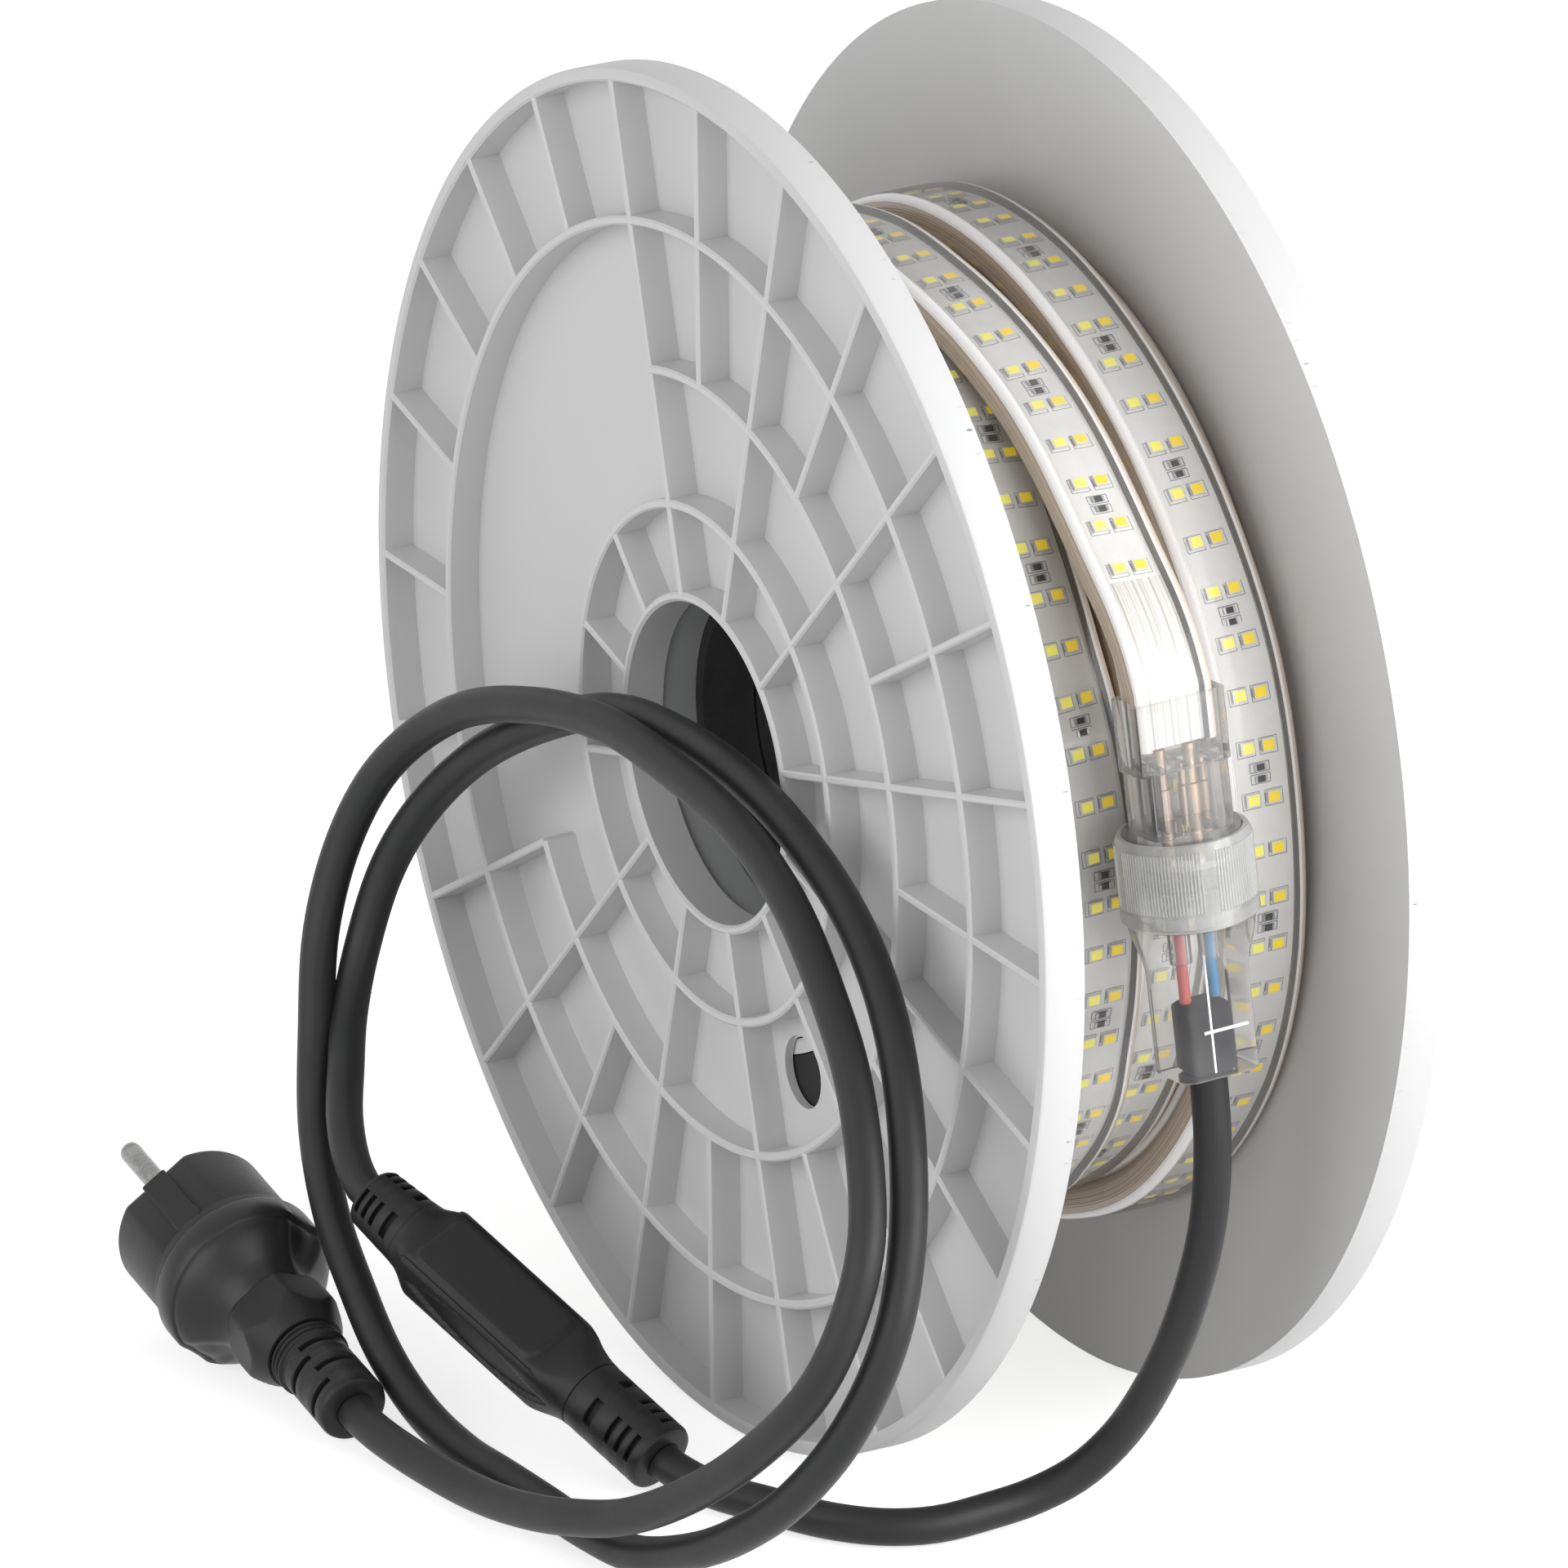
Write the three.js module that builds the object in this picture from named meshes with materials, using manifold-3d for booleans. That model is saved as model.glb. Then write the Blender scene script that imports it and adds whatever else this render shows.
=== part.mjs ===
// Reel of LED rope light, with its clear connector, rectifier, mains lead and plug.
// Millimetres. X is the reel's axis, with the near flange at +X. Z is up, and the
// reel stands on the rims of its two flanges at Z = 0.
import * as THREE from 'three';
import { mergeVertices } from 'three/addons/utils/BufferGeometryUtils.js';
import Module from 'manifold-3d';

// Clearance between pieces that touch on the real reel
const touchGap = 0.3;
// How far joined bodies run into each other, and how far a cutting body reaches past what it cuts
const joinLap = 1;
const cutReach = 1;

// Flanges
const flangeDiameter = 300;
const flangeWidth = 9.3;
const flangeGap = 77.4;
const plateThickness = 1.9;
const rimWall = 3.2;
const ringWall = 2;
const spokeWall = 1.7;
const boreRadius = 35;
const innerRingRadius = 57;
const middleRingRadius = 86;
const outerRingRadius = 118;
const spokeCount = 24;
const spokePhaseDeg = -0.7;
const openSectorFirst = 7;
const openSectorLast = 14;
const startHoleRadius = 8;
const startHoleDistance = 68.4;
const startHoleDeg = -64.8;
const rimFacets = 60;
const ringFacets = 48;
const boreFacets = 40;
const arcFacets = 30;

// Barrel, hub tube and liner between the flanges
const barrelRadius = 64.5;
const barrelWall = 3.2;
const collarHeight = 5;
const collarWall = 2.5;
const hubWall = 2.4;
const hubStep = 1;
const linerWall = 2.1;
const linerSetback = 17.6;

// Wound rope
const ropeWidth = 19;
const ropeThickness = 8;
const ropeEdgeRadius = 2.6;
const lowerLayerRadius = 104.5;
const lowerTurns = 4;
const strandSink = 0.5;
const strandSteps = 72;

// Connector: lengths along its axis, from the rope's side to the cable's side
const socketSideWall = 1.3;
const socketFaceWall = 1.7;
const socketWidth = ropeWidth + 2 * (touchGap + socketSideWall);
const socketDepth = ropeThickness + 2 * (touchGap + socketFaceWall);
const socketChamfer = 2;
const socketHeadLength = 15.3;
const socketNeckWidth = 19.6;
const socketNeckDepth = 15;
const socketNeckChamfer = 3;
const nutStart = 29.5;
const nutLength = 18.9;
const nutRadius = 14.7;
const nutWall = 1.9;
const nutEdge = 0.8;
const nutEdgeLength = 1.5;
const spigotEnd = 34;
const plugFlangeLength = 4.3;
const plugNeckRadius = 11.3;
const taperRadius = 13.5;
const taperLength = 12.5;
const taperEndInset = 1.5;
const tailBodyWidth = 18.6;
const tailBodyDepth = 15.4;
const tailBodyChamfer = 2.5;
const connectorLength = 82.5;
const sealInset = 1.5;
const sealWall = 3;
const connectorStandoff = 14.8;
const ropePocketDepth = 11;
const connectorWall = 3;
const connectorBore = 5.8;
const pinRadius = 1.3;
const pinSpacing = 7;
const coreLength = 17.5;
const coreRadius = 1.25;
const grommetSize = 10.2;
const grommetChamfer = 1.5;
const grommetLength = 15;
const clearFacets = 32;
const smallFacets = 24;
const pinFacets = 12;

// Cable and rectifier
const cableDiameter = 8.1;
const cableSides = 10;
const feedSteps = 18;
const mainsSteps = 62;
const cableStraight = 2.5;
const reliefRadius = 8.1;
const reliefCollar = 2.5;
const reliefStep = 0.4;
const reliefGrooves = 2;
const reliefGrooveDepth = 1.5;
const reliefGrooveShare = 0.35;
const reliefSpigot = 8;
const reliefFacets = 20;
const rectifierLength = 94;
const rectifierWidth = 19;
const rectifierThickness = 16;
const rectifierBody = 56.6;
const rectifierReelRelief = 23;
const rectifierBore = 5.5;
const rectifierEdge = 2.8;
const rectifierEndStep = 0.6;
const rectifierReelTaper = 9;
const rectifierMainsTaper = 7;
const bridgeLength = 15;
const bridgeWidth = 9.6;
const bridgeThickness = 4;

// Plug
const plugBarrelRadius = 17.8;
const plugBarrelLength = 20.2;
const plugShoulderRadius = 19.5;
const plugShoulderLength = 10.3;
const plugDomeLength = 11;
const plugNeck = 10.4;
const plugDomeCurve = [[2, 2.8], [5, 6.4], [7.3, 10]];
const plugShoulderEdge = 1.5;
const plugShoulderEdgeLength = 3;
const plugFaceEdge = 2;
const plugSpigotRadius = 8.9;
const plugSpigotLength = 3.6;
const glandNutLength = 14.5;
const glandNutFlats = 22;
const glandRounding = 1.6;
const glandRoundingLength = 5;
const glandLip = 2.6;
const plugReliefLength = 23.4;
const plugReliefRadius = 7.9;
const plugReliefCollar = 3;
const plugReliefStep = 0.5;
const plugReliefGrooves = [8, 15];
const plugReliefGrooveWidth = 2;
const plugReliefGrooveDepth = 1.5;
const plugPinRadius = 2.4;
const plugPinLength = 19;
const plugPinSpacing = 19;
const plugPinSocket = 12;
const plugPinTip = 1.5;
const plugPinTipInset = 1.2;
const plugKeyWidth = 6.5;
const plugKeyThickness = 4;
const plugKeyStandoff = 0.2;
const plugKeyEnd = 0.6;
const plugFlatDepth = 2;
const plugFacets = 36;

// Places worked out from the sizes
const flangeRadius = flangeDiameter / 2;
const innerFace = flangeGap / 2;
const outerFace = innerFace + flangeWidth;
const axisHeight = flangeRadius;
const hubInner = boreRadius + hubStep;
const hubOuter = hubInner + hubWall;
const cableRadius = cableDiameter / 2;
const grommetStart = connectorLength - grommetLength;
const pinEnd = grommetStart - coreLength;

const wasm = await Module();
wasm.setup();

// Booleans

// How near two points are when they count as one, before a boolean and after it
const weldBefore = 1e-4;
const weldAfter = 2e-3;

// Points closer than the tolerance become one, and triangles that close up are dropped
function welded(geometry, tolerance) {
  const merged = mergeVertices(geometry, tolerance);
  const index = merged.index.array;
  const kept = [];
  for (let i = 0; i < index.length; i += 3) {
    const [a, b, c] = [index[i], index[i + 1], index[i + 2]];
    if (a !== b && b !== c && c !== a) {
      kept.push(a, b, c);
    }
  }
  merged.setIndex(kept);
  return merged;
}

function solidOf(geometry) {
  const bare = geometry.clone();
  bare.deleteAttribute('normal');
  bare.deleteAttribute('uv');
  const merged = welded(bare, weldBefore);
  const vertProperties = new Float32Array(merged.attributes.position.array);
  const triVerts = new Uint32Array(merged.index.array);
  return new wasm.Manifold(new wasm.Mesh({ numProp: 3, vertProperties, triVerts }));
}

function geometryOf(solid) {
  const mesh = solid.getMesh();
  const raw = new THREE.BufferGeometry();
  raw.setAttribute('position', new THREE.BufferAttribute(mesh.vertProperties, 3));
  raw.setIndex(new THREE.BufferAttribute(mesh.triVerts, 1));
  const geometry = welded(raw, weldAfter);
  geometry.computeVertexNormals();
  return geometry;
}

function join(geometries) {
  let solid = solidOf(geometries[0]);
  for (const geometry of geometries.slice(1)) {
    solid = solid.add(solidOf(geometry));
  }
  return solid;
}

function cut(solid, geometries) {
  let result = solid;
  for (const geometry of geometries) {
    result = result.subtract(solidOf(geometry));
  }
  return result;
}

// Shapes and simple solids

function arcPoints(radius, fromDeg, toDeg, steps) {
  const points = [];
  for (let i = 0; i <= steps; i += 1) {
    const angle = THREE.MathUtils.degToRad(fromDeg + ((toDeg - fromDeg) * i) / steps);
    points.push(new THREE.Vector2(radius * Math.cos(angle), radius * Math.sin(angle)));
  }
  return points;
}

function circleShape(radius, steps) {
  return new THREE.Shape(arcPoints(radius, 0, 360, steps).slice(0, -1));
}

// A rim outline whose flats touch the true circle, with a flat at the very bottom
function rimShape(radius, steps) {
  const halfStep = 180 / steps;
  const corner = radius / Math.cos(THREE.MathUtils.degToRad(halfStep));
  return new THREE.Shape(arcPoints(corner, halfStep, halfStep + 360, steps).slice(0, -1));
}

// A flat shape in the reel's (Y, Z) plane, extruded along X
function slab(shape, fromX, toX) {
  const geometry = new THREE.ExtrudeGeometry(shape, { depth: toX - fromX, bevelEnabled: false });
  geometry.translate(0, 0, fromX);
  const toReel = new THREE.Matrix4().makeBasis(
    new THREE.Vector3(0, 1, 0),
    new THREE.Vector3(0, 0, 1),
    new THREE.Vector3(1, 0, 0),
  );
  geometry.applyMatrix4(toReel);
  return geometry;
}

function ringSlab(outer, inner, fromX, toX, steps) {
  const shape = circleShape(outer, steps);
  shape.holes.push(circleShape(inner, steps));
  return slab(shape, fromX, toX);
}

function rimSlab(inner, fromX, toX) {
  const shape = rimShape(flangeRadius, rimFacets);
  shape.holes.push(rimShape(inner, rimFacets));
  return slab(shape, fromX, toX);
}

// A profile of [radius, height] pairs, counter-clockwise, turned about Y
function turned(profile, segments) {
  return new THREE.LatheGeometry(profile.map(([r, h]) => new THREE.Vector2(r, h)), segments);
}

function disc(radius, from, to, segments) {
  return turned([[0, from], [radius, from], [radius, to], [0, to]], segments);
}

function tubeRing(outer, inner, from, to, segments) {
  return turned([[inner, from], [outer, from], [outer, to], [inner, to], [inner, from]], segments);
}

// A block centred on the Y axis, from one height to another
function block(width, depth, from, to) {
  const geometry = new THREE.BoxGeometry(width, to - from, depth);
  geometry.translate(0, (from + to) / 2, 0);
  return geometry;
}

// A block with its four long edges cut off
function chamferedBlock(width, depth, chamfer, from, to) {
  const [w, d] = [width / 2, depth / 2];
  const shape = new THREE.Shape([
    new THREE.Vector2(-w + chamfer, -d),
    new THREE.Vector2(w - chamfer, -d),
    new THREE.Vector2(w, -d + chamfer),
    new THREE.Vector2(w, d - chamfer),
    new THREE.Vector2(w - chamfer, d),
    new THREE.Vector2(-w + chamfer, d),
    new THREE.Vector2(-w, d - chamfer),
    new THREE.Vector2(-w, -d + chamfer),
  ]);
  const geometry = new THREE.ExtrudeGeometry(shape, { depth: to - from, bevelEnabled: false });
  geometry.rotateX(Math.PI / 2);
  geometry.translate(0, to, 0);
  return geometry;
}

// A lathe about Y laid along the reel's axis, at the axis height
function alongReel(geometry) {
  geometry.rotateZ(-Math.PI / 2);
  geometry.translate(0, 0, axisHeight);
  return geometry;
}

// Colours and finishes

function finish(color, roughness, metalness = 0, opacity = 1) {
  const transparent = opacity < 1;
  return new THREE.MeshStandardMaterial({ color, roughness, metalness, opacity, transparent });
}

const greyPlastic = finish(0xc6c7c8, 0.55);
const hubGrey = finish(0xa4a5a6, 0.6);
const linerBlack = finish(0x1c1c1d, 0.95);
const ropeClear = finish(0xe9e4da, 0.25);
const clearPlastic = finish(0xdfe6e8, 0.15, 0, 0.45);
const nickel = finish(0xc9cacb, 0.25, 1);
const sealRubber = finish(0xd8d8d4, 0.7);
const blackRubber = finish(0x2b2c2e, 0.6);
const blackMoulding = finish(0x26272a, 0.5);
const redCore = finish(0xb4382f, 0.5);
const blueCore = finish(0x2f6fb0, 0.5);

const reel = new THREE.Group();
reel.name = 'led_rope_light_reel';

function addMesh(parent, name, geometry, material) {
  const mesh = new THREE.Mesh(geometry, material);
  mesh.name = name;
  parent.add(mesh);
  return mesh;
}

// Flange: plate on the inside, ribbed pockets open to the outside

function spokeSlab(angleDeg, fromRadius, toRadius) {
  const half = spokeWall / 2;
  const shape = new THREE.Shape([
    new THREE.Vector2(fromRadius, -half),
    new THREE.Vector2(toRadius, -half),
    new THREE.Vector2(toRadius, half),
    new THREE.Vector2(fromRadius, half),
  ]);
  const geometry = slab(shape, innerFace + plateThickness / 2, outerFace);
  geometry.rotateX(THREE.MathUtils.degToRad(angleDeg));
  return geometry;
}

function arcWall(radius, fromDeg, toDeg) {
  const outside = arcPoints(radius, fromDeg, toDeg, arcFacets);
  const inside = arcPoints(radius - ringWall, toDeg, fromDeg, arcFacets);
  return slab(new THREE.Shape([...outside, ...inside]), innerFace + plateThickness / 2, outerFace);
}

function spokeAngle(index) {
  return spokePhaseDeg + (index * 360) / spokeCount;
}

function flangeGeometry() {
  const ribBase = innerFace + plateThickness / 2;
  const plateTop = innerFace + plateThickness;
  const pieces = [
    rimSlab(boreRadius, innerFace, plateTop),
    rimSlab(flangeRadius - rimWall, ribBase, outerFace),
    ringSlab(outerRingRadius, outerRingRadius - ringWall, ribBase, outerFace, ringFacets),
    ringSlab(innerRingRadius, innerRingRadius - ringWall, ribBase, outerFace, boreFacets),
    ringSlab(boreRadius + ringWall, boreRadius, ribBase, outerFace, boreFacets),
    arcWall(middleRingRadius, spokeAngle(openSectorLast) - 360, spokeAngle(openSectorFirst)),
  ];
  const barrelCollar = barrelRadius - barrelWall - touchGap;
  const hubCollar = hubOuter + touchGap + collarWall;
  const collarEnd = innerFace - collarHeight;
  for (const collar of [barrelCollar, hubCollar]) {
    pieces.push(ringSlab(collar, collar - collarWall, collarEnd, ribBase, boreFacets));
  }
  for (let i = 0; i < spokeCount; i += 1) {
    const angle = spokeAngle(i);
    const runsThrough = i % 2 === 1;
    const inOpenSector = i > openSectorFirst && i < openSectorLast;
    const rimEnd = flangeRadius - rimWall / 2;
    const ringOverlap = ringWall / 2;
    if (inOpenSector) {
      pieces.push(spokeSlab(angle, outerRingRadius - ringOverlap, rimEnd));
      if (runsThrough) {
        pieces.push(spokeSlab(angle, boreRadius + ringOverlap, innerRingRadius - ringOverlap));
      }
    } else {
      const inner = runsThrough ? boreRadius + ringOverlap : middleRingRadius - ringOverlap;
      pieces.push(spokeSlab(angle, inner, rimEnd));
    }
  }
  const startHole = circleShape(startHoleRadius, smallFacets);
  const hole = slab(startHole, innerFace - cutReach, outerFace + cutReach);
  const holeAngle = THREE.MathUtils.degToRad(startHoleDeg);
  const holeY = startHoleDistance * Math.cos(holeAngle);
  const holeZ = startHoleDistance * Math.sin(holeAngle);
  hole.translate(0, holeY, holeZ);
  const solid = cut(join(pieces), [hole]);
  return geometryOf(solid).translate(0, 0, axisHeight);
}

function buildFlanges() {
  const geometry = flangeGeometry();
  addMesh(reel, 'near_flange', geometry, greyPlastic);
  const far = addMesh(reel, 'far_flange', geometry.clone(), greyPlastic);
  far.rotation.z = Math.PI;
}

// Barrel and bore

function buildCore() {
  const reach = innerFace - touchGap;
  const barrel = tubeRing(barrelRadius, barrelRadius - barrelWall, -reach, reach, ringFacets);
  addMesh(reel, 'drum_barrel', alongReel(barrel), greyPlastic);
  const hub = tubeRing(hubOuter, hubInner, -reach, reach, boreFacets);
  addMesh(reel, 'hub_tube', alongReel(hub), hubGrey);
  const linerOuter = hubInner - touchGap;
  const linerEnd = outerFace - linerSetback;
  const liner = tubeRing(linerOuter, linerOuter - linerWall, -linerEnd, linerEnd, boreFacets);
  addMesh(reel, 'core_liner', alongReel(liner), linerBlack);
}

// Wound rope: the filled layers, and the last strand that lies on them and lifts to the connector

function layersProfile() {
  const reach = innerFace - touchGap;
  const pitch = (2 * reach) / lowerTurns;
  const half = pitch / 2;
  const crown = lowerLayerRadius;
  const edge = ropeEdgeRadius;
  const inner = barrelRadius + touchGap;
  const profile = [[inner, -reach]];
  for (let i = 0; i < lowerTurns; i += 1) {
    const middle = -reach + half + i * pitch;
    profile.push([crown - edge, middle - half]);
    profile.push([crown, middle - half + edge]);
    profile.push([crown, middle + half - edge]);
  }
  profile.push([crown - edge, reach]);
  profile.push([inner, reach]);
  profile.push([inner, -reach]);
  return profile;
}

// Connector axis: rope end at the top, cable end at the bottom
const connectorTop = new THREE.Vector3(1.3, lowerLayerRadius + connectorStandoff, 195);
const connectorDirection = new THREE.Vector3(-0.047, 0.104, -0.993).normalize();

function onConnector(distance) {
  return connectorTop.clone().addScaledVector(connectorDirection, distance);
}

// The last strand, from where it dives under the layer's edge to where it leaves the winding:
// [angle in degrees, height of its middle above the lower layer, place along X]
const strandStations = [
  [545, -4.4, -28.4],
  [520, 0.2, -28.2],
  [495, 4, -26.5],
  [465, 4, -23.5],
  [437, 4, -22.2],
  [410, 4, -23.6],
  [385, 4, -26],
  [365, 4, -26.8],
  [345, 4, -28.2],
  [325, 4, -28.6],
  [300, 4, -28.2],
  [270, 4, -25],
  [240, 4, -20],
  [210, 4, -14.5],
  [180, 4, -9],
  [150, 4, -4],
  [120, 4, 0.5],
  [95, 4, 2.8],
  [77, 4.1, 2.2],
  [66, 4.8, 0.6],
  [56, 6.4, -0.4],
  [48, 9, -0.2],
  [41, 11.8, 0.3],
  [34.5, 15.4, 0.7],
  [28.5, 20.1, 1],
  [24.4, 22.6, 1.2],
];

// Points along the strand with the direction it runs in, ending straight inside the socket
function strandRings() {
  const points = strandStations.map(([angleDeg, lift, x]) => {
    const angle = THREE.MathUtils.degToRad(angleDeg);
    const radius = lowerLayerRadius + lift - strandSink;
    return new THREE.Vector3(x, radius * Math.cos(angle), axisHeight + radius * Math.sin(angle));
  });
  points.push(onConnector(-1));
  const path = new THREE.CatmullRomCurve3(points, false, 'centripetal');
  const rings = [];
  for (let i = 0; i <= strandSteps; i += 1) {
    const share = i / strandSteps;
    rings.push({ point: path.getPointAt(share), tangent: path.getTangentAt(share) });
  }
  rings[strandSteps].tangent = connectorDirection;
  rings.push({ point: onConnector(ropePocketDepth - touchGap), tangent: connectorDirection });
  return rings;
}

// A flat strip section carried along the rings, its broad side kept facing out from the reel's axis
function flatStrand(rings, width, thickness, edge) {
  const [w, t] = [width / 2, thickness / 2];
  const section = [
    [-w + edge, -t], [w - edge, -t], [w, -t + edge], [w, t - edge],
    [w - edge, t], [-w + edge, t], [-w, t - edge], [-w, -t + edge],
  ];
  const across = new THREE.Vector3();
  const outward = new THREE.Vector3();
  const positions = [];
  for (const { point, tangent } of rings) {
    across.set(1, 0, 0).addScaledVector(tangent, -tangent.x).normalize();
    outward.crossVectors(across, tangent).normalize();
    for (const [a, b] of section) {
      const corner = point.clone().addScaledVector(across, a).addScaledVector(outward, b);
      positions.push(corner.x, corner.y, corner.z);
    }
  }
  const sides = section.length;
  const last = (rings.length - 1) * sides;
  const index = [];
  for (let start = 0; start < last; start += sides) {
    for (let j = 0; j < sides; j += 1) {
      const a = start + j;
      const b = start + ((j + 1) % sides);
      index.push(a, b + sides, b, a, a + sides, b + sides);
    }
  }
  for (let j = 1; j < sides - 1; j += 1) {
    index.push(0, j, j + 1);
    index.push(last, last + j + 1, last + j);
  }
  const geometry = new THREE.BufferGeometry();
  geometry.setAttribute('position', new THREE.Float32BufferAttribute(positions, 3));
  geometry.setIndex(index);
  return geometry;
}

function buildRope() {
  const layers = alongReel(turned(layersProfile(), rimFacets));
  const strand = flatStrand(strandRings(), ropeWidth, ropeThickness, ropeEdgeRadius);
  addMesh(reel, 'wound_rope', geometryOf(join([layers, strand])), ropeClear);
}

// Groups whose +Y runs along a direction, with +Z turned to face as asked

function axisGroup(origin, direction, facing) {
  const along = direction.clone().normalize();
  const front = facing.clone().addScaledVector(along, -facing.dot(along)).normalize();
  const side = new THREE.Vector3().crossVectors(along, front);
  const group = new THREE.Group();
  group.position.copy(origin);
  group.quaternion.setFromRotationMatrix(new THREE.Matrix4().makeBasis(side, along, front));
  reel.add(group);
  return group;
}

// Connector

function buildConnector() {
  const outwards = new THREE.Vector3(0, 1, 0);
  const group = axisGroup(connectorTop, connectorDirection, outwards);
  const nutBore = nutRadius - nutWall;
  const spigotRadius = nutBore - touchGap;
  const plugFace = spigotEnd + 2;
  const lip = plugFace + plugFlangeLength;
  const nutEnd = nutStart + nutLength;
  const taperStart = nutEnd + touchGap;
  const taperEnd = taperStart + taperLength;
  const wallEnd = ropePocketDepth + connectorWall;
  const neckEnd = nutStart - touchGap;

  const socketOutside = join([
    chamferedBlock(socketWidth, socketDepth, socketChamfer, 0, socketHeadLength),
    chamferedBlock(socketNeckWidth, socketNeckDepth, socketNeckChamfer, socketHeadLength - joinLap, neckEnd),
    disc(spigotRadius, neckEnd - joinLap, spigotEnd, clearFacets),
  ]);
  const pinHoles = [-1, 1].map((side) => {
    const hole = disc(pinRadius + touchGap, ropePocketDepth - cutReach, wallEnd + cutReach, pinFacets);
    hole.translate((side * pinSpacing) / 2, 0, 0);
    return hole;
  });
  const socket = cut(socketOutside, [
    block(ropeWidth + 2 * touchGap, ropeThickness + 2 * touchGap, -cutReach, ropePocketDepth),
    disc(connectorBore, wallEnd, spigotEnd + cutReach, smallFacets),
    ...pinHoles,
  ]);
  addMesh(group, 'strip_socket', geometryOf(socket), clearPlastic);

  [-1, 1].forEach((side, i) => {
    const pin = disc(pinRadius, ropePocketDepth + touchGap, pinEnd, pinFacets);
    pin.translate((side * pinSpacing) / 2, 0, 0);
    addMesh(group, `contact_pin_${i + 1}`, pin, nickel);
  });

  const sealRadius = spigotRadius - sealInset;
  const sealFrom = spigotEnd + touchGap;
  const sealTo = plugFace - touchGap;
  const seal = tubeRing(sealRadius, sealRadius - sealWall, sealFrom, sealTo, clearFacets);
  addMesh(group, 'seal_ring', seal, sealRubber);

  const nut = turned([
    [plugNeckRadius + touchGap, lip + touchGap],
    [nutBore, lip + touchGap],
    [nutBore, nutStart],
    [nutRadius - nutEdge, nutStart],
    [nutRadius, nutStart + nutEdgeLength],
    [nutRadius, nutEnd - nutEdgeLength],
    [nutRadius - nutEdge, nutEnd],
    [plugNeckRadius + touchGap, nutEnd],
    [plugNeckRadius + touchGap, lip + touchGap],
  ], boreFacets);
  addMesh(group, 'union_nut', nut, clearPlastic);

  const bodyOutside = join([
    turned([
      [0, plugFace],
      [spigotRadius, plugFace],
      [spigotRadius, lip],
      [plugNeckRadius, lip],
      [plugNeckRadius, taperStart],
      [taperRadius, taperStart],
      [tailBodyWidth / 2 - taperEndInset, taperEnd],
      [0, taperEnd],
    ], clearFacets),
    chamferedBlock(tailBodyWidth, tailBodyDepth, tailBodyChamfer, taperEnd - joinLap, connectorLength),
  ]);
  const pocket = grommetSize + 2 * touchGap;
  const body = cut(bodyOutside, [
    disc(connectorBore, plugFace - cutReach, grommetStart + cutReach, smallFacets),
    block(pocket, pocket, grommetStart - touchGap, connectorLength + cutReach),
  ]);
  addMesh(group, 'cable_plug_body', geometryOf(body), clearPlastic);

  const grommetEnd = connectorLength - touchGap;
  const grommet = chamferedBlock(grommetSize, grommetSize, grommetChamfer, grommetStart, grommetEnd);
  addMesh(group, 'grommet', grommet, blackMoulding);
  const cores = [['red_core', redCore], ['blue_core', blueCore]];
  cores.forEach(([name, material], i) => {
    const core = disc(coreRadius, pinEnd + touchGap, grommetStart - touchGap, pinFacets);
    core.translate((i === 0 ? 1 : -1) * (pinSpacing / 2), 0, 0);
    addMesh(group, name, core, material);
  });
}

// Cable routes, as chosen points

const feedRoute = [
  [-2.9, 129.0, 97.0],
  [-2.5, 127.3, 78.5],
  [-1.0, 119.9, 55.9],
  [0.3, 108.8, 36.6],
  [3.3, 97.8, 20.9],
  [9.8, 91.9, 11.9],
  [18.5, 88.0, 7.0],
  [29.0, 86.4, 5.1],
  [40.5, 85.4, 4.3],
  [50.3, 81.1, 4.2],
  [59.0, 72.2, 4.3],
  [66.7, 58.0, 4.6],
  [72.7, 44.2, 4.6],
];

const mainsRoute = [
  [120.6, -12.5, 5.8],
  [119.0, 4.0, 4.9],
  [117.6, 22.0, 5.4],
  [116.8, 40.0, 8.0],
  [115.2, 58.0, 12.1],
  [111.4, 78.5, 18.5],
  [106.9, 99.5, 30.0],
  [102.5, 118.4, 44.3],
  [97.0, 134.8, 62.0],
  [92.9, 140.3, 74.6],
  [87.1, 140.4, 89.9],
  [82.6, 135.2, 100.6],
  [74.9, 116.0, 120.7],
  [70.2, 95.0, 134.8],
  [66.3, 71.7, 146.0],
  [63.8, 43.5, 153.6],
  [62.8, 12.5, 156.4],
  [62.8, -15.0, 156.9],
  [64.6, -46.2, 151.8],
  [68.1, -76.0, 141.0],
  [74.3, -97.5, 122.9],
  [80.2, -105.3, 105.2],
  [86.8, -104.5, 86.0],
  [93.3, -95.4, 66.8],
  [100.1, -82.9, 49.5],
  [104.7, -67.8, 35.6],
  [107.1, -52.0, 24.7],
  [108.6, -36.0, 14.8],
  [108.4, -20.0, 7.6],
  [107.7, -2.6, 4.4],
  [106.8, 14.4, 4.2],
  [106.2, 32.0, 4.2],
  [106.0, 50.8, 4.3],
  [104.8, 69.1, 5.6],
  [102.5, 89.8, 12.6],
  [99.7, 107.7, 22.2],
  [95.4, 125.0, 36.0],
  [89.3, 138.8, 55.2],
  [81.9, 143.8, 76.5],
  [74.6, 137.8, 95.5],
  [67.2, 123.7, 115.9],
  [61.9, 107.3, 131.2],
  [57.6, 84.5, 143.8],
  [54.8, 55.0, 152.8],
  [53.2, 26.4, 156.8],
  [53.0, -2.0, 157.2],
  [54.0, -26.0, 154.6],
  [57.0, -49.0, 146.2],
  [62.5, -74.0, 131.6],
  [68.4, -91.0, 114.4],
  [73.5, -99.1, 98.6],
  [79.9, -99.5, 80.9],
  [86.2, -93.4, 69.6],
  [93.0, -82.2, 62.0],
  [99.0, -71.5, 55.4],
  [102.6, -61.3, 49.6],
];

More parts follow.
